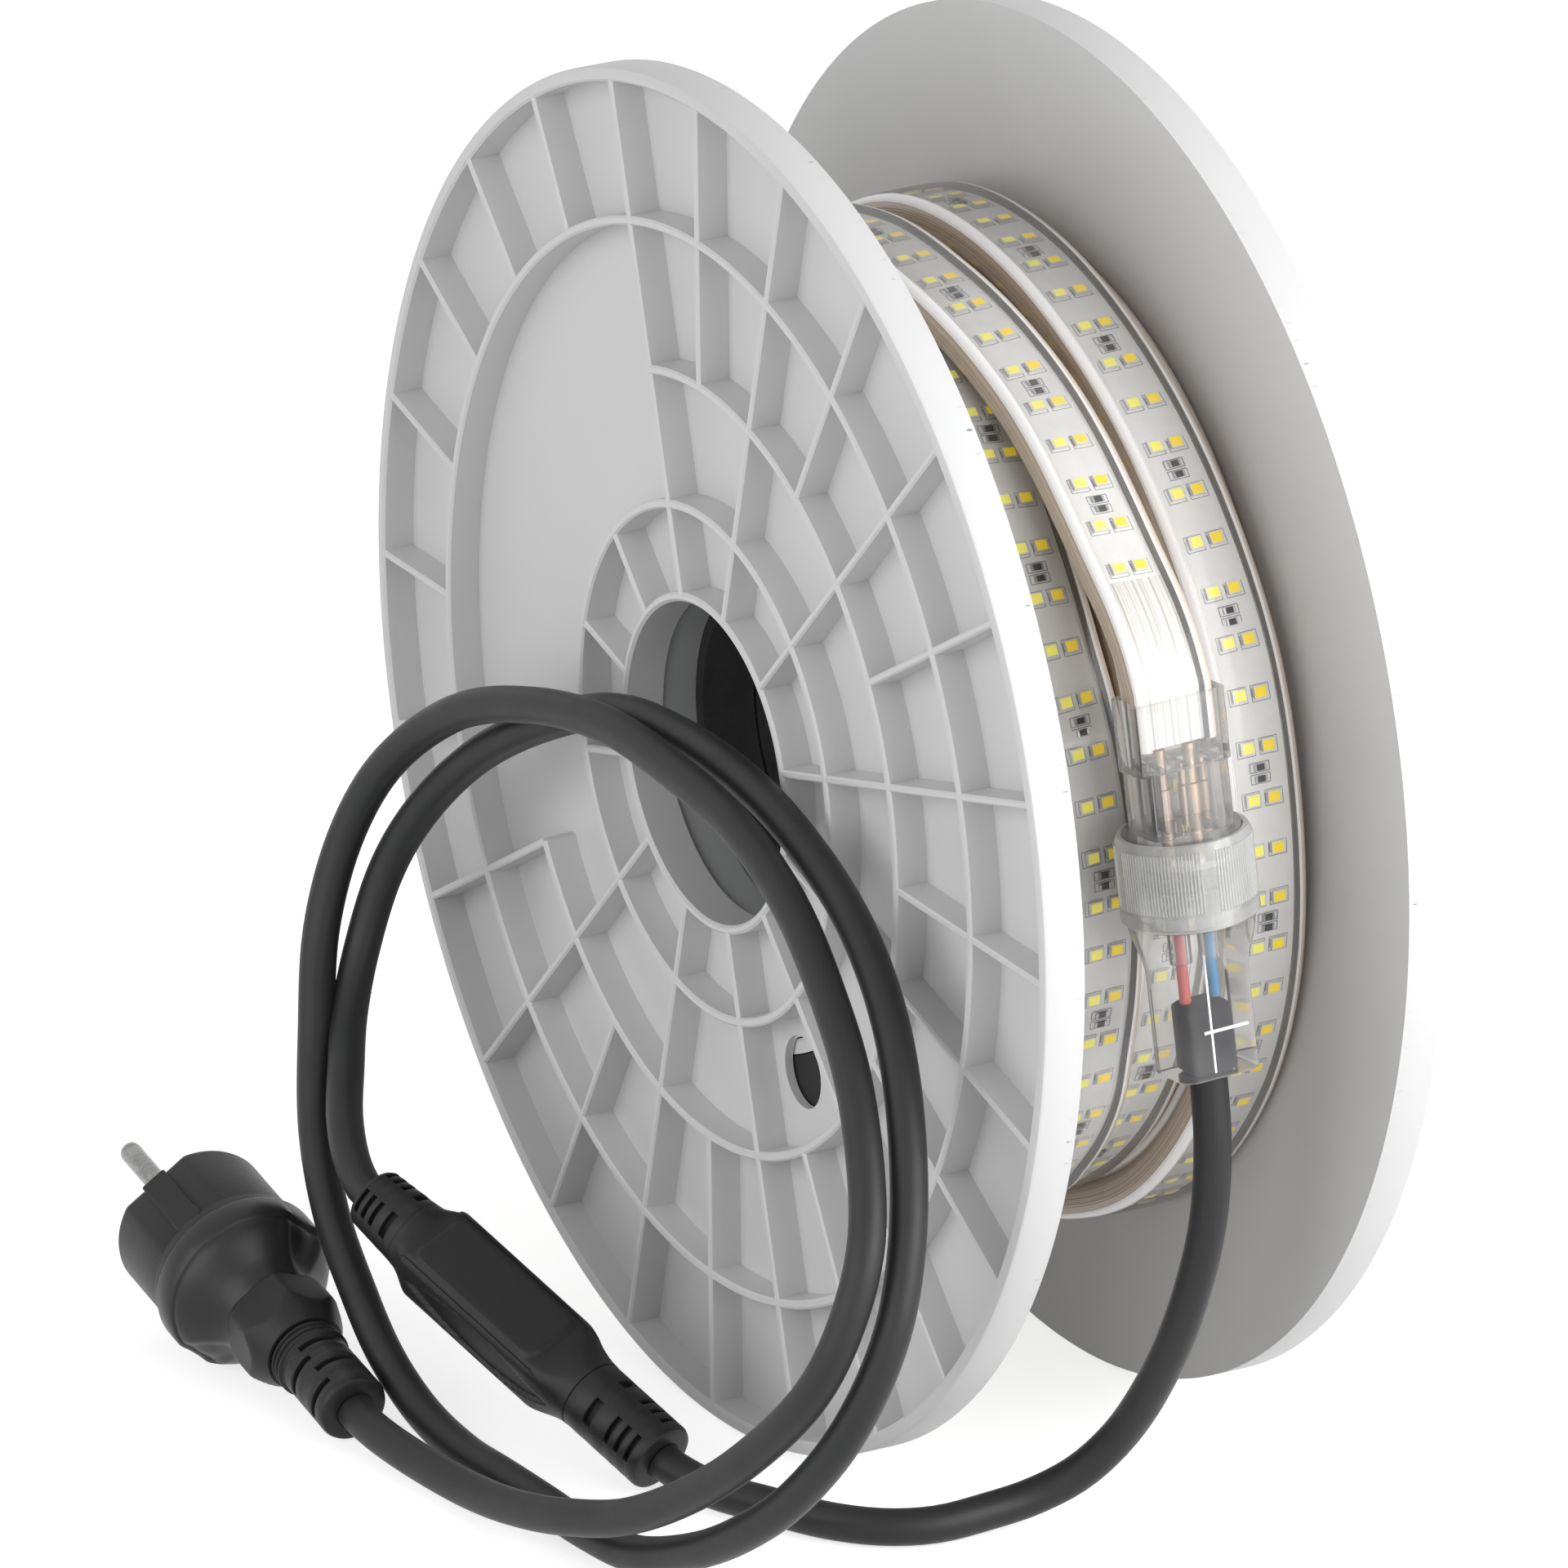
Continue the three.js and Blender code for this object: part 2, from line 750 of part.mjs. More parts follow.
// Rectifier axis, from the mains end down to the reel end, and the way its broad side faces
const rectifierDirection = new THREE.Vector3(-0.273, 0.872, -0.397).normalize();
const rectifierFacing = new THREE.Vector3(0.248, 0.468, 0.848);
const rectifierReelEnd = new THREE.Vector3(77.1, 30.8, reliefHeight());

// The reel end's collar just touches the ground
function reliefHeight() {
  const tilt = Math.hypot(rectifierDirection.x, rectifierDirection.y);
  return reliefRadius * tilt + 0.1;
}

// Plug axis, from the cable end to the pins
const plugCableEnd = new THREE.Vector3(121, -26.8, 7.9);
const plugDirection = new THREE.Vector3(0, -0.974, 0.225).normalize();
const plugFacing = new THREE.Vector3(0.623, 0.178, 0.763);

function cableTube(name, points, steps) {
  const path = new THREE.CatmullRomCurve3(points, false, 'centripetal');
  path.arcLengthDivisions = 2000;
  const section = circleShape(cableRadius, cableSides);
  const geometry = new THREE.ExtrudeGeometry(section, { steps, extrudePath: path, bevelEnabled: false });
  addMesh(reel, name, geometry, blackRubber);
}

function buildCables() {
  const route = (list) => list.map(([x, y, z]) => new THREE.Vector3(x, y, z));
  const rectifierMainsEnd = rectifierReelEnd.clone().addScaledVector(rectifierDirection, -rectifierLength);
  const beyond = (end, direction, distance) => end.clone().addScaledVector(direction, distance);
  const feed = [
    onConnector(connectorLength + touchGap),
    ...route(feedRoute),
    beyond(rectifierReelEnd, rectifierDirection, cableStraight),
    beyond(rectifierReelEnd, rectifierDirection, touchGap),
  ];
  cableTube('feed_lead', feed, feedSteps);
  const mains = [
    beyond(plugCableEnd, plugDirection, -touchGap),
    beyond(plugCableEnd, plugDirection, -2 * cableStraight),
    ...route(mainsRoute),
    beyond(rectifierMainsEnd, rectifierDirection, -cableStraight),
    beyond(rectifierMainsEnd, rectifierDirection, -touchGap),
  ];
  cableTube('mains_lead', mains, mainsSteps);
}

// Rectifier, its +Y running from the reel end up to the mains end

// A strain relief from its open end: collar, grooved stem, and the spigot inside the body
function reliefProfile(length) {
  const spigot = rectifierBore - touchGap;
  const stem = reliefRadius - reliefStep;
  const groove = stem - reliefGrooveDepth;
  const stemStart = reliefCollar + reliefStep;
  const pitch = (length - reliefCollar - stemStart) / reliefGrooves;
  const profile = [[0, 0], [reliefRadius, 0], [reliefRadius, reliefCollar], [stem, stemStart]];
  for (let i = 0; i < reliefGrooves; i += 1) {
    const from = stemStart + (i + 0.5) * pitch;
    const to = from + reliefGrooveShare * pitch;
    profile.push([stem, from], [groove, from], [groove, to], [stem, to]);
  }
  profile.push([reliefRadius, length - touchGap - reliefStep]);
  profile.push([reliefRadius, length - touchGap]);
  profile.push([spigot, length - touchGap]);
  profile.push([spigot, length + reliefSpigot]);
  profile.push([0, length + reliefSpigot]);
  return profile;
}

function rectifierShell() {
  const flatHalf = rectifierWidth / 2 - rectifierEdge;
  const flatThickness = rectifierThickness - 2 * rectifierEdge;
  const endHalf = reliefRadius + rectifierEndStep - rectifierEdge;
  const reelTaper = rectifierReelTaper;
  const mainsTaper = rectifierBody - rectifierMainsTaper;
  const outline = [
    [-endHalf, 0], [endHalf, 0], [flatHalf, reelTaper], [flatHalf, mainsTaper],
    [endHalf, rectifierBody], [-endHalf, rectifierBody], [-flatHalf, mainsTaper], [-flatHalf, reelTaper],
  ];
  const shape = new THREE.Shape(outline.map(([x, y]) => new THREE.Vector2(x, y)));
  const shell = new THREE.ExtrudeGeometry(shape, {
    depth: flatThickness,
    bevelThickness: rectifierEdge,
    bevelSize: rectifierEdge,
    bevelSegments: 2,
  });
  shell.translate(0, 0, -flatThickness / 2);
  const clear = 2 * rectifierWidth;
  const pastEdge = rectifierEdge + cutReach;
  return cut(solidOf(shell), [
    disc(rectifierBore, -pastEdge, rectifierBody + pastEdge, smallFacets),
    block(clear, clear, -pastEdge, 0),
    block(clear, clear, rectifierBody, rectifierBody + pastEdge),
  ]);
}

function buildRectifier() {
  const upwards = rectifierDirection.clone().negate();
  const group = axisGroup(rectifierReelEnd, upwards, rectifierFacing);
  const mainsRelief = rectifierLength - rectifierReelRelief - rectifierBody;
  const reelRelief = turned(reliefProfile(rectifierReelRelief), reliefFacets);
  addMesh(group, 'rectifier_relief_reel', reelRelief, blackMoulding);
  const shell = geometryOf(rectifierShell()).translate(0, rectifierReelRelief, 0);
  addMesh(group, 'rectifier_body', shell, blackMoulding);
  const upperRelief = turned(reliefProfile(mainsRelief), reliefFacets);
  upperRelief.rotateX(Math.PI);
  upperRelief.translate(0, rectifierLength, 0);
  addMesh(group, 'rectifier_relief_mains', upperRelief, blackMoulding);
  const middle = rectifierReelRelief + rectifierBody / 2;
  const bridge = block(bridgeWidth, bridgeThickness, middle - bridgeLength / 2, middle + bridgeLength / 2);
  addMesh(group, 'bridge_rectifier', bridge, blackMoulding);
}

// Plug, its +Y running from the cable end to the pins

function hexagon(acrossFlats, from, to) {
  const radius = acrossFlats / Math.sqrt(3);
  return turned([[0, from], [radius, from], [radius, to], [0, to]], 6);
}

function buildPlug() {
  const group = axisGroup(plugCableEnd, plugDirection, plugFacing);
  const nutFrom = plugReliefLength;
  const nutTo = nutFrom + glandNutLength;
  const lipEnd = nutFrom + glandLip;
  const spigotFrom = lipEnd + touchGap;
  const spigotTo = lipEnd + plugSpigotLength;
  const collar = plugReliefRadius;
  const stem = collar - plugReliefStep;
  const groove = stem - plugReliefGrooveDepth;
  const reliefSpigotRadius = plugSpigotRadius - reliefStep;

  const relief = [[0, 0], [collar, 0], [collar, plugReliefCollar], [stem, plugReliefCollar + plugReliefStep]];
  for (const from of plugReliefGrooves) {
    const to = from + plugReliefGrooveWidth;
    relief.push([stem, from], [groove, from], [groove, to], [stem, to]);
  }
  relief.push([stem, spigotFrom], [reliefSpigotRadius, spigotFrom]);
  relief.push([reliefSpigotRadius, spigotTo], [0, spigotTo]);
  addMesh(group, 'plug_relief', turned(relief, smallFacets), blackMoulding);

  const hexNut = solidOf(hexagon(glandNutFlats, nutFrom, nutTo));
  const flatsRadius = glandNutFlats / 2;
  const rounding = turned([
    [0, nutFrom], [flatsRadius - glandRounding, nutFrom],
    [flatsRadius + glandRounding, nutFrom + glandRoundingLength],
    [flatsRadius + glandRounding, nutTo], [0, nutTo],
  ], clearFacets);
  const nut = cut(hexNut.intersect(solidOf(rounding)), [
    disc(stem + touchGap, nutFrom - cutReach, nutTo + cutReach, smallFacets),
    disc(plugSpigotRadius + touchGap, lipEnd, nutTo + cutReach, smallFacets),
  ]);
  addMesh(group, 'gland_nut', geometryOf(nut), blackMoulding);

  const shoulderStart = nutTo + plugDomeLength;
  const shoulderEnd = shoulderStart + plugShoulderLength;
  addMesh(group, 'plug_body', turned([
    [0, spigotTo + touchGap],
    [plugSpigotRadius, spigotTo + touchGap],
    [plugSpigotRadius, nutTo + touchGap],
    [plugNeck, nutTo + touchGap],
    ...plugDomeCurve.map(([out, along]) => [plugNeck + out, nutTo + along]),
    [plugShoulderRadius, shoulderStart + plugShoulderEdge],
    [plugShoulderRadius, shoulderEnd - plugShoulderEdgeLength],
    [plugShoulderRadius - plugShoulderEdge, shoulderEnd],
    [0, shoulderEnd],
  ], plugFacets), blackMoulding);

  const faceStart = shoulderEnd + touchGap;
  const faceEnd = shoulderEnd + plugBarrelLength;
  const barrel = solidOf(turned([
    [0, faceStart],
    [plugBarrelRadius, faceStart],
    [plugBarrelRadius, faceEnd - plugFaceEdge],
    [plugBarrelRadius - plugFaceEdge, faceEnd],
    [0, faceEnd],
  ], plugFacets));
  const flats = [-1, 1].map((side) => {
    const depth = plugFlatDepth + cutReach;
    const flat = block(2 * plugBarrelRadius, depth, faceStart - cutReach, faceEnd + cutReach);
    flat.translate(0, 0, side * (plugBarrelRadius - plugFlatDepth + depth / 2));
    return flat;
  });
  const pinSockets = [-1, 1].map((side) => {
    const hole = disc(plugPinRadius + touchGap, faceEnd - plugPinSocket, faceEnd + cutReach, smallFacets);
    hole.translate(0, 0, (side * plugPinSpacing) / 2);
    return hole;
  });
  const keys = [-1, 1].map((side) => {
    const key = block(plugKeyWidth, plugKeyThickness, faceStart, faceEnd - plugKeyEnd);
    key.translate(0, 0, side * (plugBarrelRadius - plugKeyStandoff - plugKeyThickness / 2));
    return key;
  });
  const keyed = keys.reduce((solid, key) => solid.add(solidOf(key)), cut(barrel, flats));
  addMesh(group, 'plug_face', geometryOf(cut(keyed, pinSockets)), blackMoulding);

  [-1, 1].forEach((side, i) => {
    const from = faceEnd - plugPinSocket + touchGap;
    const tip = faceEnd + plugPinLength;
    const pin = turned([
      [0, from], [plugPinRadius, from], [plugPinRadius, tip - plugPinTip],
      [plugPinRadius - plugPinTipInset, tip], [0, tip],
    ], pinFacets);
    pin.translate(0, 0, (side * plugPinSpacing) / 2);
    addMesh(group, `plug_pin_${i + 1}`, pin, nickel);
  });
}

buildFlanges();
buildCore();
buildRope();
buildConnector();
buildCables();
buildRectifier();
buildPlug();

export default reel;
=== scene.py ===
"""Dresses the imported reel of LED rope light. Sizes are in millimetres until a mesh is made."""
import math

import bmesh
import bpy
import numpy as np
from mathutils import Matrix, Vector


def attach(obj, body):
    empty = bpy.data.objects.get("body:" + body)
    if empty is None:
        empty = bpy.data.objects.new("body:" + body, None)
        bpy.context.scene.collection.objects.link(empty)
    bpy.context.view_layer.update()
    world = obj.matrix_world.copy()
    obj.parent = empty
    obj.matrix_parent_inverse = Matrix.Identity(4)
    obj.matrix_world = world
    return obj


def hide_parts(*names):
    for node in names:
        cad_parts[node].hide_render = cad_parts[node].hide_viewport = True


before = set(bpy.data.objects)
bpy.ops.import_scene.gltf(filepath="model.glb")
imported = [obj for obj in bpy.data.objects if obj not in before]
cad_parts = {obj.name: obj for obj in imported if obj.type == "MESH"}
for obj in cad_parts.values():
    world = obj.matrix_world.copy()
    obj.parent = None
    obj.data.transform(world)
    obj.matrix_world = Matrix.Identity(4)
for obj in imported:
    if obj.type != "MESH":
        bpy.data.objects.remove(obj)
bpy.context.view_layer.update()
scene = bpy.context.scene

# Sizes, as the model has them

MM = 0.001
TOUCH_GAP = 0.3

FLANGE_RADIUS = 150.0
INNER_FACE = 38.7
OUTER_FACE = 48.0
PLATE_THICKNESS = 1.9
RIM_WALL = 3.2
RING_WALL = 2.0
SPOKE_WALL = 1.7
SPOKE_DROP = 0.08
BORE_RADIUS = 35.0
INNER_RING_RADIUS = 57.0
MIDDLE_RING_RADIUS = 86.0
OUTER_RING_RADIUS = 118.0
SPOKE_COUNT = 24
SPOKE_PHASE_DEG = -0.7
OPEN_SECTOR_FIRST = 7
OPEN_SECTOR_LAST = 14
START_HOLE_RADIUS = 8.0
START_HOLE_DISTANCE = 68.4
START_HOLE_DEG = -64.8
AXIS_HEIGHT = FLANGE_RADIUS

BARREL_OUTER = 64.5
BARREL_INNER = 61.3
HUB_OUTER = 38.4
HUB_INNER = 36.0
COLLAR_WALL = 2.5

LAYER_RADIUS = 104.5
ROPE_THICKNESS = 8.0
LAYER_PITCH = 19.2
ROPE_MIDDLE = LAYER_RADIUS - ROPE_THICKNESS / 2
STRAND_SINK = 0.5
STRAND_STEP = 3.4
BOARD_LEVEL = 2.3
LAMP_PITCH = 10.94
LAMP_COLUMNS = 5.2
BARE_SLEEVE = 27.0

CONNECTOR_TOP = Vector((1.3, 119.3, 195.0))
CONNECTOR_ALONG = Vector((-0.047, 0.104, -0.993)).normalized()
CONNECTOR_LENGTH = 82.5

CABLE_DIAMETER = 8.1
CABLE_STRAIGHT = 2.5
CABLE_STEP = 3.0
RELIEF_RADIUS = 8.1
RECTIFIER_LENGTH = 94.0
RECTIFIER_BODY = 56.6
RECTIFIER_REEL_RELIEF = 23.0
RECTIFIER_WIDTH = 19.0
RECTIFIER_THICKNESS = 16.0
RECTIFIER_ALONG = Vector((-0.273, 0.872, -0.397)).normalized()
RECTIFIER_FACING = Vector((0.248, 0.468, 0.848))
RECTIFIER_TILT = math.hypot(RECTIFIER_ALONG.x, RECTIFIER_ALONG.y)
RECTIFIER_REEL_END = Vector((77.1, 30.8, RELIEF_RADIUS * RECTIFIER_TILT + 0.1))

PLUG_CABLE_END = Vector((121.0, -26.8, 7.9))
PLUG_ALONG = Vector((0.0, -0.974, 0.225)).normalized()
PLUG_FACING = Vector((0.623, 0.178, 0.763))


# Camera and light


def look_matrix(position, forward, roll_deg):
    forward = Vector(forward).normalized()
    right = forward.cross(Vector((0, 0, 1))).normalized()
    up = right.cross(forward)
    roll = math.radians(roll_deg)
    turned_right = right * math.cos(roll) + up * math.sin(roll)
    turned_up = up * math.cos(roll) - right * math.sin(roll)
    columns = (turned_right, turned_up, -forward)
    matrix = Matrix([[c[i] for c in columns] for i in range(3)]).to_4x4()
    matrix.translation = Vector(position)
    return matrix


CAMERA_POSITION = Vector((2.0463, 3.7905, 1.7492))
CAMERA_FORWARD = Vector((-0.4401, -0.8267, -0.3506))
CAMERA_ROLL_DEG = -1.0466
CAMERA_LENS = 494.88
WORLD_LIGHT = 0.46
FLOOR_SIZE = 12.0
FLOOR_GLOW = 0.72
FLOOR_COLOR = (0.6, 0.6, 0.6, 1)
WHITE = (1, 1, 1, 1)


def make_camera():
    data = bpy.data.cameras.new("camera")
    data.sensor_width = 36.0
    data.lens = CAMERA_LENS
    data.clip_end = 50.0
    camera = bpy.data.objects.new("camera", data)
    camera.matrix_world = look_matrix(CAMERA_POSITION, CAMERA_FORWARD, CAMERA_ROLL_DEG)
    scene.collection.objects.link(camera)
    scene.camera = camera


def area_light(name, direction, distance, size, power):
    """A square lamp that looks at the reel's middle from one direction."""
    middle = Vector((0, 0, AXIS_HEIGHT * MM))
    data = bpy.data.lights.new(name, "AREA")
    data.size = size
    data.energy = power
    lamp = bpy.data.objects.new(name, data)
    place = middle + Vector(direction).normalized() * distance
    lamp.matrix_world = look_matrix(place, middle - place, 0)
    scene.collection.objects.link(lamp)


class NodeTree:
    """Shader nodes, added and linked one by one."""

    def __init__(self, owner, output_kind):
        owner.use_nodes = True
        self.nodes = owner.node_tree.nodes
        self.links = owner.node_tree.links
        self.nodes.clear()
        self.output = self.nodes.new(output_kind)

    def node(self, kind, inputs=None, **values):
        item = self.nodes.new(kind)
        for key, value in values.items():
            setattr(item, key, value)
        for key, value in (inputs or {}).items():
            item.inputs[key].default_value = value
        return item

    def link(self, start, end):
        self.links.new(start, end)

    def join(self, kind, first, second, factor=None):
        """Two shaders added, or mixed by a factor."""
        item = self.node(kind)
        if factor is not None:
            self.link(factor, item.inputs[0])
        offset = 0 if factor is None else 1
        self.link(first.outputs[0], item.inputs[offset])
        self.link(second.outputs[0], item.inputs[offset + 1])
        return item

    def show(self, shader):
        self.link(shader.outputs[0], self.output.inputs["Surface"])

    def looked_at(self):
        """1 for rays that show a surface: straight to the eye, mirrored, or through clear plastic."""
        path = self.node("ShaderNodeLightPath")
        total = path.outputs["Is Camera Ray"]
        for name in ("Is Glossy Ray", "Is Transmission Ray"):
            larger = self.node("ShaderNodeMath", operation="MAXIMUM")
            self.link(total, larger.inputs[0])
            self.link(path.outputs[name], larger.inputs[1])
            total = larger.outputs[0]
        return total


def make_world():
    world = bpy.data.worlds.new("studio")
    scene.world = world
    tree = NodeTree(world, "ShaderNodeOutputWorld")
    seen = tree.node("ShaderNodeBackground", {"Strength": 1.0, "Color": WHITE})
    lit = tree.node("ShaderNodeBackground", {"Strength": WORLD_LIGHT, "Color": WHITE})
    tree.show(tree.join("ShaderNodeMixShader", lit, seen, tree.looked_at()))


def make_floor():
    """White floor: it glows a little to the eye, so that only the contact shadow is grey."""
    mesh = bpy.data.meshes.new("floor")
    half = FLOOR_SIZE / 2
    corners = [(-half, -half, 0), (half, -half, 0), (half, half, 0), (-half, half, 0)]
    mesh.from_pydata(corners, [], [(0, 1, 2, 3)])
    floor = bpy.data.objects.new("floor", mesh)
    scene.collection.objects.link(floor)
    material = bpy.data.materials.new("floor_white")
    tree = NodeTree(material, "ShaderNodeOutputMaterial")
    matt = tree.node("ShaderNodeBsdfDiffuse", {"Color": FLOOR_COLOR})
    glow = tree.node("ShaderNodeEmission")
    strength = tree.node("ShaderNodeMath", {1: FLOOR_GLOW}, operation="MULTIPLY")
    tree.link(tree.looked_at(), strength.inputs[0])
    tree.link(strength.outputs[0], glow.inputs["Strength"])
    tree.show(tree.join("ShaderNodeAddShader", matt, glow))
    mesh.materials.append(material)


def make_studio():
    make_world()
    make_floor()
    area_light("rim_light", (-0.55, 0.75, 0.4), 1.6, 1.1, 17)
    area_light("winding_light", (-0.26, 0.94, 0.25), 1.9, 1.7, 24)
    area_light("face_light", (0.97, 0.2, 0.16), 1.6, 1.9, 19)
    scene.view_settings.view_transform = "Standard"


make_camera()
make_studio()

# Shapes


class Place:
    """A local frame whose +Y runs along a piece and whose +Z faces a given way."""

    def __init__(self, origin, along, facing):
        y = Vector(along).normalized()
        z = Vector(facing)
        z = (z - y * z.dot(y)).normalized()
        x = y.cross(z)
        self.matrix = Matrix([[c[i] for c in (x, y, z)] for i in range(3)]).to_4x4()
        self.matrix.translation = Vector(origin)

    def apply(self, points):
        return [self.matrix @ Vector(p) for p in points]


def add_piece(name, data, replaced):
    piece = bpy.data.objects.new(name, data)
    scene.collection.objects.link(piece)
    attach(piece, "root")
    if replaced:
        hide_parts(replaced)
    return piece


class Form:
    """Collects closed shapes, each with a material slot, into one mesh."""

    def __init__(self, shapes=(), place=None):
        self.points = []
        self.faces = []
        self.slots = []
        for shape in shapes:
            self.add(shape, 0, place)

    def add(self, shape, slot=0, place=None):
        points, faces = shape[0], shape[1]
        if place is not None:
            points = place.apply(points)
        start = len(self.points)
        self.points += [tuple(p) for p in points]
        self.faces += [tuple(i + start for i in face) for face in faces]
        slots = shape[2] if len(shape) > 2 else [slot] * len(faces)
        self.slots += slots

    def build(self, name, materials, slot, replaced=None, sharp_deg=35, recalc=True):
        mesh = bpy.data.meshes.new(name)
        mesh.from_pydata([tuple(c * MM for c in p) for p in self.points], [], self.faces)
        for item in materials:
            mesh.materials.append(item)
        mesh.polygons.foreach_set("material_index", self.slots)
        if recalc:
            work = bmesh.new()
            work.from_mesh(mesh)
            bmesh.ops.remove_doubles(work, verts=work.verts, dist=1e-7)
            bmesh.ops.recalc_face_normals(work, faces=work.faces)
            work.to_mesh(mesh)
            work.free()
        mesh.polygons.foreach_set("use_smooth", [True] * len(mesh.polygons))
        mesh.set_sharp_from_angle(angle=math.radians(sharp_deg))
        mesh.update()
        return add_piece(name, mesh, replaced)


def ring_points(count, start_deg=0.0):
    return [math.radians(start_deg) + 2 * math.pi * i / count for i in range(count)]


def lathe(profile, segments):
    """A closed profile of (radius, height) turned about Y."""
    points = []
    for angle in ring_points(segments):
        points += [(r * math.cos(angle), h, r * math.sin(angle)) for r, h in profile]
    return points, ring_faces(segments, len(profile), closed=True)


def ring_at(radius, height, angles):
    return [(radius * math.cos(a), height, radius * math.sin(a)) for a in angles]


def ring_faces(rings, sides, closed):
    faces = []
    last = rings if closed else rings - 1
    for i in range(last):
        a = i * sides
        b = ((i + 1) % rings) * sides
        for j in range(sides):
            k = (j + 1) % sides
            faces.append((a + j, a + k, b + k, b + j))
    return faces


def loft(rings):
    """Rings of points joined one after the next, with both ends closed."""
    sides = len(rings[0])
    points = [p for ring in rings for p in ring]
    faces = ring_faces(len(rings), sides, closed=False)
    faces.append(tuple(range(sides)))
    faces.append(tuple(len(points) - sides + j for j in range(sides)))
    return points, faces


def rounded_rect(width, depth, radius, corner_steps=4):
    """Points round a rectangle in the (X, Z) plane with round corners."""
    points = []
    for quarter in range(4):
        cx = (width / 2 - radius) * (1 if quarter in (0, 3) else -1)
        cz = (depth / 2 - radius) * (1 if quarter in (0, 1) else -1)
        for step in range(corner_steps + 1):
            angle = math.radians(90 * quarter + 90 * step / corner_steps)
            points.append((cx + radius * math.cos(angle), cz + radius * math.sin(angle)))
    return points


def soft_block(width, depth, start, end, radius=1.0, edge=0.4):
    """A block along Y with round long edges and eased ends."""
    rings = []
    for height, inset in ((start, edge), (start + edge, 0), (end - edge, 0), (end, edge)):
        outline = rounded_rect(width - 2 * inset, depth - 2 * inset, radius)
        rings.append([(x, height, z) for x, z in outline])
    return loft(rings)


def turned_rings(profile, segments):
    """Solid of revolution from (radius, height) pairs that start and end on the axis."""
    around = ring_points(segments)
    return loft([ring_at(radius, height, around) for radius, height in profile])


def about_reel(profile, segments):
    """A closed profile of (radius, X) turned about the reel's axis."""
    points = []
    for angle in ring_points(segments):
        points += [(x, r * math.cos(angle), AXIS_HEIGHT + r * math.sin(angle)) for r, x in profile]
    return points, ring_faces(segments, len(profile), closed=True)


def catmull_rom(points, per_span=24):
    """Dense centripetal spline through 3-D points, its end spans extrapolated."""
    pts = [np.array(p, dtype=float) for p in points]
    pts = [2 * pts[0] - pts[1]] + pts + [2 * pts[-1] - pts[-2]]
    out = []
    for i in range(1, len(pts) - 2):
        p0, p1, p2, p3 = pts[i - 1 : i + 3]
        d0, d1, d2 = (np.sqrt(np.linalg.norm(b - a)) for a, b in ((p0, p1), (p1, p2), (p2, p3)))
        t1 = ((p1 - p0) / d0 - (p2 - p0) / (d0 + d1) + (p2 - p1) / d1) * d1
        t2 = ((p2 - p1) / d1 - (p3 - p1) / (d1 + d2) + (p3 - p2) / d2) * d1
        for step in range(per_span):
            s = step / per_span
            c2 = -3 * p1 + 3 * p2 - 2 * t1 - t2
            c3 = 2 * p1 - 2 * p2 + t1 + t2
            out.append(p1 + t1 * s + c2 * s**2 + c3 * s**3)
    out.append(pts[-2])
    return np.array(out)


def run_lengths(line):
    """Distance along a line at each of its points."""
    return np.concatenate([[0], np.cumsum(np.linalg.norm(np.diff(line, axis=0), axis=1))])


def even_steps(line, spacing):
    """The same line with points at an even spacing."""
    lengths = run_lengths(line)
    count = max(2, int(round(lengths[-1] / spacing)) + 1)
    wanted = np.linspace(0, lengths[-1], count)
    return np.array([np.interp(wanted, lengths, line[:, k]) for k in range(3)]).T


# Materials


PLASTIC_IOR = 1.47
CLEAR_IOR = 1.28
MILK_COLOR = (0.86, 0.85, 0.83, 1)


class Finish(NodeTree):
    """A node material built step by step."""

    def __init__(self, name):
        self.material = bpy.data.materials.new(name)
        super().__init__(self.material, "ShaderNodeOutputMaterial")
        self.coords = self.node("ShaderNodeTexCoord").outputs["Object"]

    def noise(self, scale, detail=3.0, stretch=None):
        item = self.node("ShaderNodeTexNoise", {"Scale": scale, "Detail": detail})
        source = self.coords
        if stretch:
            mapping = self.node("ShaderNodeMapping", {"Scale": stretch})
            self.link(source, mapping.inputs["Vector"])
            source = mapping.outputs["Vector"]
        self.link(source, item.inputs["Vector"])
        return item.outputs["Fac"]

    def span(self, factor, low, high):
        item = self.node("ShaderNodeMapRange", {"To Min": low, "To Max": high})
        self.link(factor, item.inputs["Value"])
        return item.outputs["Result"]

    def bump(self, height, strength, distance_mm):
        item = self.node("ShaderNodeBump", {"Strength": strength, "Distance": distance_mm * MM})
        self.link(height, item.inputs["Height"])
        return item

    def soften_edges(self, radius_mm, into):
        item = self.node("ShaderNodeBevel", {"Radius": radius_mm * MM}, samples=4)
        self.link(item.outputs["Normal"], into)

    def colour(self, surface, low, high, factor):
        ramp = self.node("ShaderNodeMix", {6: (*low, 1), 7: (*high, 1)}, data_type="RGBA")
        self.link(factor, ramp.inputs[0])
        self.link(ramp.outputs[2], surface.inputs["Base Color"])

    def roughen(self, surface, scale, detail, strength, distance_mm, stretch=None):
        bump = self.bump(self.noise(scale, detail, stretch), strength, distance_mm)
        self.link(bump.outputs[0], surface.inputs["Normal"])

    def surface(self, roughness, metallic=0.0, shine=0.5, **more):
        item = self.node("ShaderNodeBsdfPrincipled", {"Roughness": roughness, "Metallic": metallic})
        item.inputs["IOR"].default_value = PLASTIC_IOR
        item.inputs["Specular IOR Level"].default_value = shine
        for key, value in more.items():
            item.inputs[key.replace("_", " ").title()].default_value = value
        self.show(item)
        return item


